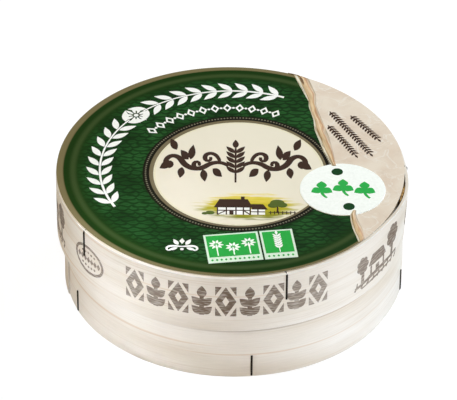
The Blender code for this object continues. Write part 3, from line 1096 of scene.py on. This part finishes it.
def scroll_half(bm, side):
    """One half of the medallion's scrollwork: a wavy stem with two curls and some leaves."""
    def placed(points):
        """Stretch points and put them on this side of the medallion."""
        return [(SCROLL_X + side * SCROLL_WIDE * px, SCROLL_Y + SCROLL_HIGH * py) for px, py in points]

    waves = [(7.0, -11.0, -9.0), (8.0, 10.0, 12.0), (7.0, -14.0, -34.0), (3.5, -60.0, -80.0)]
    stroke(bm, placed(curl((2.0, -1.6), 38.0, waves)), (1.5, 2.3, 1.1))
    curls = (((4.6, -0.2), 75.0, [(5.0, -12.0, -30.0), (4.0, -45.0, -80.0)]),
             ((8.2, -1.2), -60.0, [(4.0, 14.0, 30.0), (4.0, 45.0, 85.0)]))
    for start, heading, bends in curls:
        stroke(bm, placed(curl(start, heading, bends)), (1.1, 1.7, 1.0))
    leaves = ((9.4, -2.6, -100.0, 3.6), (13.0, 0.2, 100.0, 4.4), (13.6, 0.2, 50.0, 3.6),
              (17.0, 3.0, 60.0, 3.8), (18.8, -0.6, -30.0, 3.6), (6.6, -2.4, -140.0, 3.6),
              (15.4, -2.0, -80.0, 3.2))
    for x, y, turn, length in leaves:
        fill(bm, placed(moved(leaf(length, 2.1), x, y, turn)))


def medallion_scrolls(finish):
    """Brown scrollwork, the same on both sides of an ear of wheat."""
    bm = bmesh.new()
    for side in (-1.0, 1.0):
        scroll_half(bm, side)
    wheat_ear(bm, SCROLL_X, SCROLL_Y - 12.0, 90.0, 1.6)
    print_ink("medallion_scrolls", bm, 5, finish)


def farm(inks):
    """A small timbered farmhouse on the meadow, with a tree, bushes and a fence."""
    walls = bmesh.new()
    fill(walls, moved(rectangle(-6.0, 0.0, 5.0, 4.0), FARM_X, FARM_Y))
    fill(walls, moved(rectangle(5.1, 0.0, 9.6, 3.0), FARM_X, FARM_Y))
    print_ink("farm_walls", walls, 5, inks["white"])
    roof = bmesh.new()
    fill(roof, moved([(-7.0, 3.8), (5.7, 3.8), (4.0, 8.2), (-5.2, 8.2)], FARM_X, FARM_Y))
    fill(roof, moved([(5.4, 2.8), (10.5, 2.8), (9.0, 5.6), (5.0, 5.6)], FARM_X, FARM_Y))
    fill(roof, moved(rectangle(1.8, 8.2, 3.0, 9.6), FARM_X, FARM_Y))
    print_ink("farm_roof", roof, 6, inks["brown"])
    timbers = bmesh.new()
    posts = [(-5.8, 0.0, -5.8, 4.0), (-2.9, 0.0, -2.9, 4.0), (0.2, 0.0, 0.2, 4.0), (2.6, 0.0, 2.6, 4.0),
             (4.8, 0.0, 4.8, 4.0), (-6.0, 2.2, 5.0, 2.2), (-5.8, 0.0, -2.9, 2.2), (4.8, 0.0, 2.6, 2.2),
             (7.3, 0.0, 7.3, 3.0), (5.1, 1.5, 9.6, 1.5)]
    for x0, y0, x1, y1 in posts:
        stroke(timbers, moved([(x0, y0), (x1, y1)], FARM_X, FARM_Y), (0.42, 0.42, 0.42))
    fill(timbers, moved(rectangle(-1.9, 0.0, -0.6, 2.0), FARM_X, FARM_Y))
    for post in range(7):
        x = 11.4 + 1.3 * post
        stroke(timbers, moved([(x, 0.2), (x, 1.9)], FARM_X, FARM_Y), (0.32, 0.32, 0.32))
    stroke(timbers, moved([(10.8, 1.2), (19.6, 1.3)], FARM_X, FARM_Y), (0.3, 0.3, 0.3))
    stroke(timbers, moved([(13.6, 1.0), (13.7, 3.4), (13.5, 5.6)], FARM_X, FARM_Y), (0.7, 0.5, 0.3))
    print_ink("farm_timbers", timbers, 7, inks["brown"])
    crown = bmesh.new()
    bushes = ((13.6, 6.2, 2.4, 1.9), (12.2, 5.0, 1.7, 1.3), (15.2, 5.2, 1.7, 1.3), (-8.2, 0.9, 1.5, 1.0),
              (-9.9, 0.5, 1.0, 0.7))
    for x, y, wide, high in bushes:
        fill(crown, moved(ellipse(wide, high, 14), FARM_X + x, FARM_Y + y))
    print_ink("farm_tree", crown, 8, inks["moss"])


def wreath(inks, arcs):
    """The white wreath that runs round the back of the label, its two branches meeting in a flower."""
    centre = (PRINT_X, PRINT_Y)
    middle = (WREATH_START + WREATH_END) / 2.0
    branches = (("back", WREATH_START, middle - WREATH_GAP, 1.0),
                ("left", WREATH_END, middle + WREATH_GAP, -1.0))
    for name, start, end, side in branches:
        pair = bmesh.new()
        for out in (-1.0, 1.0):
            half = moved(leaf(6.2, 2.3), 0.0, 0.0, 90.0 * side + out * 38.0)
            fill(pair, moved(half, -out * side * 0.45, 0.0))
        print_arc(f"wreath_leaves_{name}", arcs, pair, 1, inks["white"], centre, WREATH_RADIUS,
                  start + side * 3.0, end, WREATH_LEAVES)
    stem = bmesh.new()
    for _, start, end, side in branches:
        reach = end + side * 2.0 - start
        points = [moved([(WREATH_RADIUS, 0.0)], PRINT_X, PRINT_Y, start + reach * step / 60.0)[0]
                  for step in range(61)]
        stroke(stem, points, (0.9, 0.65, 0.5))
    flower = moved([(WREATH_RADIUS, 0.0)], PRINT_X, PRINT_Y, middle)[0]
    daisy(stem, *flower, 1.3, 10, 0.8)
    fill(stem, moved(ellipse(0.8, 0.8, 14), *flower))
    print_ink("wreath_stems", stem, 2, inks["white"])


def lozenge_row(inks, arcs):
    """Small white lozenges and dots in the inner row."""
    centre = (PRINT_X, PRINT_Y)
    shape = bmesh.new()
    band(shape, lozenge(2.3, 1.5), lozenge(1.15, 0.75))
    print_arc("lozenges", arcs, shape, 1, inks["white"], centre, LOZENGE_RADIUS,
              LOZENGE_START, LOZENGE_END, LOZENGES)
    step = (LOZENGE_END - LOZENGE_START) / (LOZENGES - 1)
    dot = bmesh.new()
    fill(dot, ellipse(0.5, 0.5, 12))
    print_arc("lozenge_dots", arcs, dot, 1, inks["white"], centre, LOZENGE_RADIUS,
              LOZENGE_START + step / 2.0, LOZENGE_END - step / 2.0, LOZENGES - 1)


def on_panels(points):
    """Put points on the slope of the panels."""
    return moved(points, PANELS_X, PANELS_Y, PANELS_SLOPE)


def panels(inks):
    """Two light green panels with pale frames, a pale foot and a white motif."""
    spans = ((0.0, WIDE_PANEL), (WIDE_PANEL + PANEL_GAP, WIDE_PANEL + PANEL_GAP + NARROW_PANEL))
    ground = bmesh.new()
    field = bmesh.new()
    for left, right in spans:
        start = left + PANEL_FRAME
        end = right - PANEL_FRAME
        fill(ground, on_panels(rectangle(left, 0.0, right, PANEL_HEIGHT)))
        fill(field, on_panels(rectangle(start, PANEL_FOOT, end, PANEL_HEIGHT - PANEL_FRAME)))
        count = round((end - start) / 1.5)
        step = (end - start) / count
        for mark in range(count):
            fill(field, on_panels(moved(lozenge(0.45, 0.6), start + step * (mark + 0.5), 1.5)))
    print_ink("panel_grounds", ground, 1, inks["pale_green"])
    print_ink("panel_fields", field, 2, inks["panel"])
    motif = bmesh.new()
    for flower, high in ((3.6, 9.4), (8.8, 7.6), (14.0, 9.4)):
        spot, foot = on_panels([(flower, high), (flower, PANEL_FOOT + 0.6)])
        daisy(motif, *spot, 0.72)
        stroke(motif, [spot, foot], (0.4, 0.4, 0.4))
    ear = on_panels([(WIDE_PANEL + PANEL_GAP + NARROW_PANEL / 2.0, PANEL_FOOT + 0.3)])[0]
    wheat_ear(motif, *ear, 90.0 + PANELS_SLOPE, 0.68, 6)
    print_ink("panel_motifs", motif, 3, inks["white"])


def small_flourish(inks):
    """A small white flourish left of the panels."""
    bm = bmesh.new()
    for side in (-1.0, 1.0):
        line = curl((0.0, 0.0), 0.0, [(4.0, 10.0, -16.0), (3.5, -30.0, -75.0)])
        stroke(bm, moved([(side * px, py) for px, py in line], FLOURISH_X, FLOURISH_Y), (0.5, 0.9, 0.4))
        high = moved(leaf(3.4, 1.5), 1.2, 0.8, 62.0)
        low = moved(leaf(3.2, 1.3), 1.4, -0.6, -24.0)
        for blade in (high, low):
            fill(bm, moved([(side * px, py) for px, py in blade], FLOURISH_X, FLOURISH_Y))
    fill(bm, moved(lozenge(0.9, 1.5), FLOURISH_X, FLOURISH_Y + 2.8))
    fill(bm, moved(ellipse(0.6, 0.6, 12), FLOURISH_X, FLOURISH_Y - 1.4))
    print_ink("small_flourish", bm, 1, inks["white"])


def cream_sprigs(inks):
    """Fine dark sprigs in three slanted rows on the cream side."""
    bm = bmesh.new()
    for x, y, turn, leaves in ((38.8, 30.6, -56.0, 11), (31.9, 32.8, -61.0, 19), (31.2, 25.0, -62.0, 13)):
        sprig(bm, x, y, turn, SPRIG_SIZE, leaves)
    print_ink("cream_sprigs", bm, 1, inks["brown"])


def line_at(line, y):
    """Where a broken line from back to front lies at that distance towards the back."""
    for (x0, y0), (x1, y1) in zip(line, line[1:]):
        if y >= y1:
            return x0 + (x1 - x0) * (y - y0) / (y1 - y0)
    return line[-1][0]


def over_tag(x, y):
    """How far the tag lifts what lies over its edge."""
    inside = TAG_RADIUS - hypot(x - TAG_X, y - TAG_Y)
    return (TAG_HEIGHT + INK) * smooth_step(inside / 1.2 + 1.0)


def strand_row(lines, y):
    """Points across the torn strip and the strand, each as (x, lift, share across)."""
    edge = LABEL_X + (max(LABEL_RADIUS ** 2 - (y - LABEL_Y) ** 2, 0.0)) ** 0.5
    tear, strip, far = (min(line_at(line, y), edge) for line in lines)
    row = []
    for rib in range(STRIP_RIBS + 1):
        part = rib / STRIP_RIBS
        row.append((tear + (strip - tear) * part, STRIP_HEIGHT * part, STRIP_SHARE * part))
    for rib in range(1, STRAND_RIBS + 1):
        part = rib / STRAND_RIBS
        crest = sin(pi * part) ** 0.6 * (0.8 + 0.35 * sin(7.0 * part + y / 4.0))
        lift = STRIP_HEIGHT * (1.0 - part) + STRAND_HEIGHT * crest
        row.append((strip + (far - strip) * part, lift, STRIP_SHARE + (1.0 - STRIP_SHARE) * part))
    return row


def strand(name, lines, finish):
    """The torn strip with the raised strand beside it, its grain stored along and across it."""
    back = lines[0][0][1]
    front = lines[0][-1][1]
    count = int((back - front) / STRAND_STEP)
    bm = bmesh.new()
    grain = bm.loops.layers.uv.new("grain")
    rows = []
    for index in range(count + 1):
        y = back + (front - back) * index / count
        row = []
        for x, lift, share in strand_row(lines, y):
            row.append((bm.verts.new((x, y, lift + over_tag(x, y))), (y, share)))
        rows.append(row)
    for here, then in zip(rows, rows[1:]):
        for rib in range(len(here) - 1):
            corners = (here[rib], then[rib], then[rib + 1], here[rib + 1])
            face = bm.faces.new([corner for corner, _ in corners])
            for loop, (_, place) in zip(face.loops, corners):
                loop[grain].uv = place
    thicken(bm, 2.0 * INK)
    finish_piece(name, lay_on_label(to_mesh(bm), 1), finish, sharp=60.0)


def round_tag(inks):
    """The white round tag with two dark holes and three green clover leaves."""
    profile = [(0.0, TAG_HEIGHT), (TAG_RADIUS - TAG_EDGE, TAG_HEIGHT), (TAG_RADIUS, TAG_HEIGHT - TAG_EDGE),
               (TAG_RADIUS, -INK), (0.0, -INK)]
    mesh = lay_on_label(turned(profile, 120, (TAG_X, TAG_Y)), 0)
    finish_piece("round_tag", mesh, inks["tag"])
    above = TAG_HEIGHT / INK + 1.0
    holes = bmesh.new()
    for x, y in TAG_HOLES:
        fill(holes, moved(ellipse(HOLE_RADIUS, HOLE_RADIUS, 32), x, y))
    print_ink("tag_holes", holes, above, inks["deep_green"])
    green = bmesh.new()
    for place, high in ((-7.0, 0.2), (0.0, 1.4), (7.0, 0.2)):
        for petal in range(3):
            heart = moved(leaf(4.0, 3.4), 0.2, 0.0, 90.0 + 120.0 * petal)
            fill(green, moved(heart, TAG_X + place, TAG_Y + high))
        stalk = curl((0.0, -0.4), -90.0, [(5.0, 5.0, 14.0)])
        stroke(green, moved(stalk, TAG_X + place, TAG_Y + high), (0.9, 1.0, 0.7))
    print_ink("tag_clover", green, above, inks["green"])


# Stamps round the lid, drawn as (millimetres along the strip, height)

def slice_upright(bm, pitch):
    """Cut flat shapes along upright lines, so that they can bend."""
    low = min(corner.co.x for corner in bm.verts)
    high = max(corner.co.x for corner in bm.verts)
    for cut in range(int(low / pitch) + 1, int(high / pitch) + 1):
        sheet = bm.verts[:] + bm.edges[:] + bm.faces[:]
        bmesh.ops.bisect_plane(bm, geom=sheet, plane_co=(cut * pitch, 0.0, 0.0), plane_no=(1.0, 0.0, 0.0))


def stamp_block(bm, x, y):
    """A bold lozenge with a small gap inside, between four corner pieces."""
    outer = moved(lozenge(STAMP_HALF_WIDTH, STAMP_HALF_HEIGHT), x, y)
    inner = moved(lozenge(STAMP_HALF_WIDTH - 2.3, STAMP_HALF_HEIGHT - 3.9), x, y)
    band(bm, outer, inner)
    corner = [(1.3, STAMP_HALF_HEIGHT), (STAMP_HALF_WIDTH, STAMP_HALF_HEIGHT), (STAMP_HALF_WIDTH, 2.3)]
    for side in (-1.0, 1.0):
        for end in (-1.0, 1.0):
            fill(bm, [(x + side * px, y + end * py) for px, py in corner])


def stamp_plant(bm, x, y):
    """A bold upright plant with leaves in pairs and one at its tip."""
    foot = y - STAMP_HALF_HEIGHT
    stroke(bm, [(x, foot), (x, foot + 5.0), (x, foot + 8.5)], (1.7, 1.5, 1.2))
    for high in (0.4, 3.9):
        for turn in (44.0, 136.0):
            fill(bm, moved(leaf(4.6, 2.9), x, foot + high, turn))
    fill(bm, moved(leaf(5.0, 3.2), x, foot + 6.8, 90.0))


def stamp_row(bm, start):
    """A row of bold ornaments, lozenges and plants in turn, but none before the strip's lap ends."""
    for index in range(STAMP_COUNT):
        x = start + STAMP_PITCH * (index + 0.5)
        if x - STAMP_HALF_WIDTH < LID_SEAM * LID_DEGREE:
            continue
        if index % 2 == 0:
            stamp_block(bm, x, STAMP_MIDDLE)
        else:
            stamp_plant(bm, x, STAMP_MIDDLE)


def stamp_oval(bm, x):
    """An oval ring with a row of lozenges and two short rows of dots inside."""
    band(bm, moved(ellipse(7.7, 5.5, 48), x, OVAL_MIDDLE), moved(ellipse(6.7, 4.5, 48), x, OVAL_MIDDLE))
    for place in range(-3, 4):
        fill(bm, moved(lozenge(0.85, 1.25), x + 1.75 * place, OVAL_MIDDLE))
    for place in range(-2, 3):
        high = 2.9 - 0.25 * abs(place)
        for side in (-1.0, 1.0):
            fill(bm, moved(ellipse(0.5, 0.45, 10), x + 1.6 * place, OVAL_MIDDLE + side * high))


def stamp_picture(bm, x):
    """A sketch of a barn between two trees, on a sloping line with blades of grass."""
    ground = OVAL_MIDDLE - PICTURE_DROP
    slope = [(-12.0, -1.6), (-4.0, 0.0), (4.0, 0.4), (12.0, 0.2)]
    path = [(-9.0, -2.7), (0.0, -1.6), (8.0, -1.5)]
    stroke(bm, moved(slope, x, ground), (0.9, 1.5, 0.9))
    stroke(bm, moved(path, x, ground), (0.5, 0.9, 0.5))
    wall = rectangle(-4.6, 0.0, 3.4, 4.6)
    inside = rectangle(-3.8, 0.8, 2.6, 4.0)
    roof = [(-5.6, 4.4), (4.4, 4.4), (2.6, 8.4), (-3.6, 8.4)]
    door = rectangle(-1.6, 0.4, 0.4, 3.0)
    band(bm, moved(wall, x, ground), moved(inside, x, ground))
    fill(bm, moved(roof, x, ground))
    fill(bm, moved(door, x, ground))
    for blade in range(9):
        bend = [(0.0, -2.4), (0.9, -1.2), (1.2, 0.6)]
        stroke(bm, moved(bend, x - 12.2 + 2.9 * blade, ground), (0.9, 0.7, 0.3))
    for foot, tall, wide in ((-8.6, 6.6, 2.7), (8.6, 8.6, 3.6)):
        trunk = [(0.0, -0.4), (0.2, tall * 0.6), (0.0, tall)]
        stroke(bm, moved(trunk, x + foot, ground), (1.6, 1.2, 0.8))
        for aside, above in ellipse(wide * 0.68, wide * 0.85, 7):
            tuft = ellipse(wide * 0.40, wide * 0.46, 10)
            fill(bm, moved(tuft, x + foot + aside, ground + tall + above))
        fill(bm, moved(ellipse(wide * 0.5, wide * 0.6, 10), x + foot, ground + tall))


def stamps(finish):
    """All the stamping round the lid."""
    bm = bmesh.new()
    for start in (STAMP_ROW_START - STAMP_REPEAT, STAMP_ROW_START, STAMP_ROW_START + STAMP_REPEAT):
        stamp_row(bm, start * LID_DEGREE)
    for angle in (OVAL_ANGLE, OVAL_ANGLE + STAMP_REPEAT):
        stamp_oval(bm, angle * LID_DEGREE)
    for angle in (PICTURE_ANGLE - STAMP_REPEAT, PICTURE_ANGLE, PICTURE_ANGLE + STAMP_REPEAT):
        stamp_picture(bm, angle * LID_DEGREE)
    slice_upright(bm, STAMP_SLICE)
    thicken(bm, STAMP_HIGH - STAMP_LOW)
    for corner in bm.verts:
        x, y, z = corner.co
        corner.co = (x / LID_DEGREE, STAMP_HIGH + z, y)
    mesh = grow(stamp_tree(), finish, LID_HOOP, to_mesh(bm))
    finish_piece("lid_stamps", mesh)


# The box

def round_edges(mesh, width):
    """Bevel the sharp edges of a mesh a little."""
    bm = bmesh.new()
    bm.from_mesh(mesh)
    sharp = [edge for edge in bm.edges if edge.is_manifold and edge.calc_face_angle() > radians(60.0)]
    bmesh.ops.bevel(bm, geom=sharp, offset=width, segments=2, profile=0.5, affect="EDGES")
    bmesh.ops.recalc_face_normals(bm, faces=bm.faces)
    bm.to_mesh(mesh)
    bm.free()
    return mesh


def hoops(finish):
    """The walls of the lid and of the base, with a point for each degree of the strip."""
    tree = hoop_tree()
    walls = (("lid", LID_HOOP, LID_EDGE, RIM_TOP), ("base", BASE_HOOP, 0.0, BASE_TOP))
    for kind, sizes, bottom, top in walls:
        values = {**sizes, "Bottom": bottom, "Top": top, "Turn Points": int(STRIP_END) + 1,
                  "Height Points": HEIGHT_POINTS}
        mesh = round_edges(grow(tree, finish, values), VENEER_ROUND)
        finish_piece(f"{kind}_wall", mesh, replaces=[f"{kind}_hoop"])


def lean_corner(corner):
    """Close the upper part of the base in and lean it, as its hoop does."""
    share = smooth_step((corner.co.z - LEAN_START) / (LEAN_END - LEAN_START))
    closing = 1.0 - LEAN * share / BASE_RADIUS
    corner.co.x = corner.co.x * closing - LEAN * share
    corner.co.y = corner.co.y * closing


def splinter(finish):
    """A sliver of torn wood that stands in the gap at the right, between the label and the lid's wall."""
    bm = bmesh.new()
    rows = []
    for step in range(SPLINTER_STEPS + 1):
        share = step / SPLINTER_STEPS
        angle = radians(SPLINTER_START + (SPLINTER_END - SPLINTER_START) * share)
        half = SPLINTER_WIDTH / 2.0 * (SPLINTER_TIP + (1.0 - SPLINTER_TIP) * sin(pi * share) ** 1.3)
        middle = SPLINTER_RADIUS + SPLINTER_SWAY * sin(9.0 * share)
        high = TOP - SPLINTER_DROP - SPLINTER_NOTCH * abs(sin(14.0 * share))
        section = ((-half, SPLINTER_FOOT), (-half, high - 0.1), (0.0, high), (half, high - 0.15),
                   (half, SPLINTER_FOOT))
        row = []
        for out, height in section:
            reach = middle + out
            row.append(bm.verts.new((LID_X + reach * cos(angle), reach * sin(angle), height)))
        rows.append(row)
    for here, then in zip(rows, rows[1:]):
        for place in range(len(here)):
            after = (place + 1) % len(here)
            bm.faces.new((here[place], here[after], then[after], then[place]))
    bm.faces.new(rows[0])
    bm.faces.new(rows[-1])
    bmesh.ops.recalc_face_normals(bm, faces=bm.faces)
    finish_piece("board_splinter", to_mesh(bm), finish)


def base_board(finish):
    """The bottom board and the full inside of the base."""
    radius = BASE_RADIUS - VENEER - BOARD_GAP
    inner = radius - BOARD_BEVEL
    profile = [(0.0, BASE_TOP), (inner, BASE_TOP), (radius, BASE_TOP - BOARD_BEVEL)]
    profile += [(radius, LEAN_END - (LEAN_END - LEAN_START) * step / 4.0) for step in range(5)]
    profile += [(radius, BOARD_RECESS + BOARD_BEVEL), (inner, BOARD_RECESS), (0.0, BOARD_RECESS)]
    mesh = turned(profile, 180, (0.0, 0.0), lean_corner)
    finish_piece("base_board", mesh, finish, ["base_core"])


def staple_line(inside, leg, depth):
    """The line of a staple, as edges: its leg on the wall, and its foot round the edge."""
    mesh = bpy.data.meshes.new("staple_line")
    points = [(WIRE_PROUD, 0.0, inside * leg), (WIRE_PROUD, 0.0, inside * depth),
              (-STAPLE_FOOT, 0.0, inside * depth)]
    mesh.from_pydata(points, [(0, 1), (1, 2)], [])
    return mesh


def staples(finish):
    """Both rings of wire staples."""
    tree = staple_tree()
    rings = (("lid", LID_HOOP, LID_STAPLE_ANGLES, RIM_TOP, -1.0, LID_LEG, LID_FOOT_DEPTH),
             ("base", BASE_HOOP, BASE_STAPLE_ANGLES, 0.0, 1.0, BASE_LEG, BASE_FOOT_DEPTH))
    for kind, sizes, angles, face, inside, leg, depth in rings:
        values = {**sizes, "Face": face, "Wire Radius": WIRE_RADIUS, "Bend": WIRE_BEND}
        values.update({f"Angle {number + 1}": angle for number, angle in enumerate(angles)})
        mesh = grow(tree, finish, values, staple_line(inside, leg, depth))
        nodes = [f"{kind}_staple_{number + 1}" for number in range(len(angles))]
        finish_piece(f"{kind}_staples", mesh, replaces=nodes)


# Studio

def camera():
    """The camera that took the picture: far away, tilted down and rolled a little."""
    tilt = radians(CAMERA_TILT)
    roll = radians(CAMERA_ROLL)
    forward = Vector((0.0, cos(tilt), -sin(tilt)))
    right = Vector((1.0, 0.0, 0.0))
    up = right.cross(forward)
    across = cos(roll) * right + sin(roll) * up
    above = cos(roll) * up - sin(roll) * right
    data = bpy.data.cameras.new("camera")
    data.lens = CAMERA_LENS
    data.sensor_width = SENSOR_WIDTH
    data.sensor_fit = "HORIZONTAL"
    data.clip_end = 10.0
    thing = bpy.data.objects.new("camera", data)
    bpy.context.scene.collection.objects.link(thing)
    turn = Matrix((across, above, -forward)).transposed().to_4x4()
    place = (CAMERA_TARGET - forward * CAMERA_DISTANCE) * MM
    thing.matrix_world = Matrix.Translation(place) @ turn
    bpy.context.scene.camera = thing


def toward(azimuth, elevation):
    """Direction of a point seen from the box; azimuth runs from the front to the right."""
    turn = radians(azimuth)
    rise = radians(elevation)
    return Vector((sin(turn) * cos(rise), -cos(turn) * cos(rise), sin(rise)))


def area_light(name, azimuth, elevation, distance, size, watts, tint, target, spread=180.0):
    """A square light that faces its target."""
    data = bpy.data.lights.new(name, "AREA")
    data.shape = "SQUARE"
    data.size = size * MM
    data.energy = watts
    data.color = linear(tint)[:3]
    data.spread = radians(spread)
    thing = bpy.data.objects.new(name, data)
    bpy.context.scene.collection.objects.link(thing)
    back = toward(azimuth, elevation)
    thing.location = (target + back * distance) * MM
    thing.rotation_euler = back.to_track_quat("Z", "Y").to_euler()


def studio():
    """A white table, a pale surround, soft lights, and narrow beams on the walls."""
    bm = bmesh.new()
    bmesh.ops.create_grid(bm, x_segments=8, y_segments=8, size=FLOOR_HALF * MM)
    mesh = to_mesh(bm)
    mesh.materials.append(studio_floor())
    floor = bpy.data.objects.new("studio_floor", mesh)
    bpy.context.scene.collection.objects.link(floor)
    floor.location.z = -FLOOR_DROP * MM
    world = bpy.data.worlds.new("studio")
    world.use_nodes = True
    surround = world.node_tree.nodes["Background"]
    surround.inputs["Color"].default_value = linear(SURROUND_TINT)
    surround.inputs["Strength"].default_value = SURROUND
    bpy.context.scene.world = world
    middle = Vector((0.0, 0.0, AIM_HEIGHT))
    for name, azimuth, elevation, size, watts, tint in SOFT_LIGHTS:
        area_light(name, azimuth, elevation, LIGHT_DISTANCE, size, watts, tint, middle)
    for name, azimuth, elevation, watts, tint, aim, spread in BEAMS:
        spot = toward(aim, 0.0) * LID_RADIUS + middle
        area_light(name, azimuth, elevation, BEAM_DISTANCE, BEAM_SIZE, watts, tint, spot, spread)
    bpy.context.scene.view_settings.view_transform = "Standard"


def build():
    """Make the whole box and its studio."""
    camera()
    studio()
    veneer = poplar_veneer()
    board = poplar_board()
    hoops(veneer)
    base_board(board)
    splinter(splinter_with_painted_gap_shade())
    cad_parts["lid_board"].material_slots[0].material = board
    stamps(stamping_ink())
    staples(staple_wire())

    inks = {
        "black": offset_ink("black_ink_on_label", INK_BLACK),
        "olive": offset_ink("olive_ink_on_label", RING_OLIVE),
        "pale": offset_ink("pale_ink_on_label", CREAM_PALE),
        "bead": offset_ink("grey_ink_on_label", BEAD_GREY),
        "white": offset_ink("white_of_the_label", INK_WHITE),
        "brown": offset_ink("brown_ink_on_label", INK_BROWN),
        "moss": offset_ink("moss_ink_on_label", INK_MOSS),
        "panel": offset_ink("bright_green_ink_on_label", INK_PANEL),
        "pale_green": offset_ink("pale_green_ink_on_label", INK_PALE_GREEN),
        "tag": offset_ink("white_tag_card", TAG_WHITE),
        "green": offset_ink("clover_green_ink_on_tag", INK_GREEN),
        "deep_green": offset_ink("deep_green_ink_on_tag", INK_DEEP_GREEN),
        "meadow": medallion_print(),
    }
    arcs = arc_tree()
    label_sheet(printed_label())
    medallion(inks, arcs)
    medallion_scrolls(inks["brown"])
    farm(inks)
    wreath(inks, arcs)
    lozenge_row(inks, arcs)
    panels(inks)
    small_flourish(inks)
    cream_sprigs(inks)
    round_tag(inks)
    raffia = torn_strand()
    strand("strand_back", (TEAR_BACK, STRIP_BACK, STRAND_BACK), raffia)
    strand("strand_front", (TEAR_FRONT, STRIP_FRONT, STRAND_FRONT), raffia)


build()
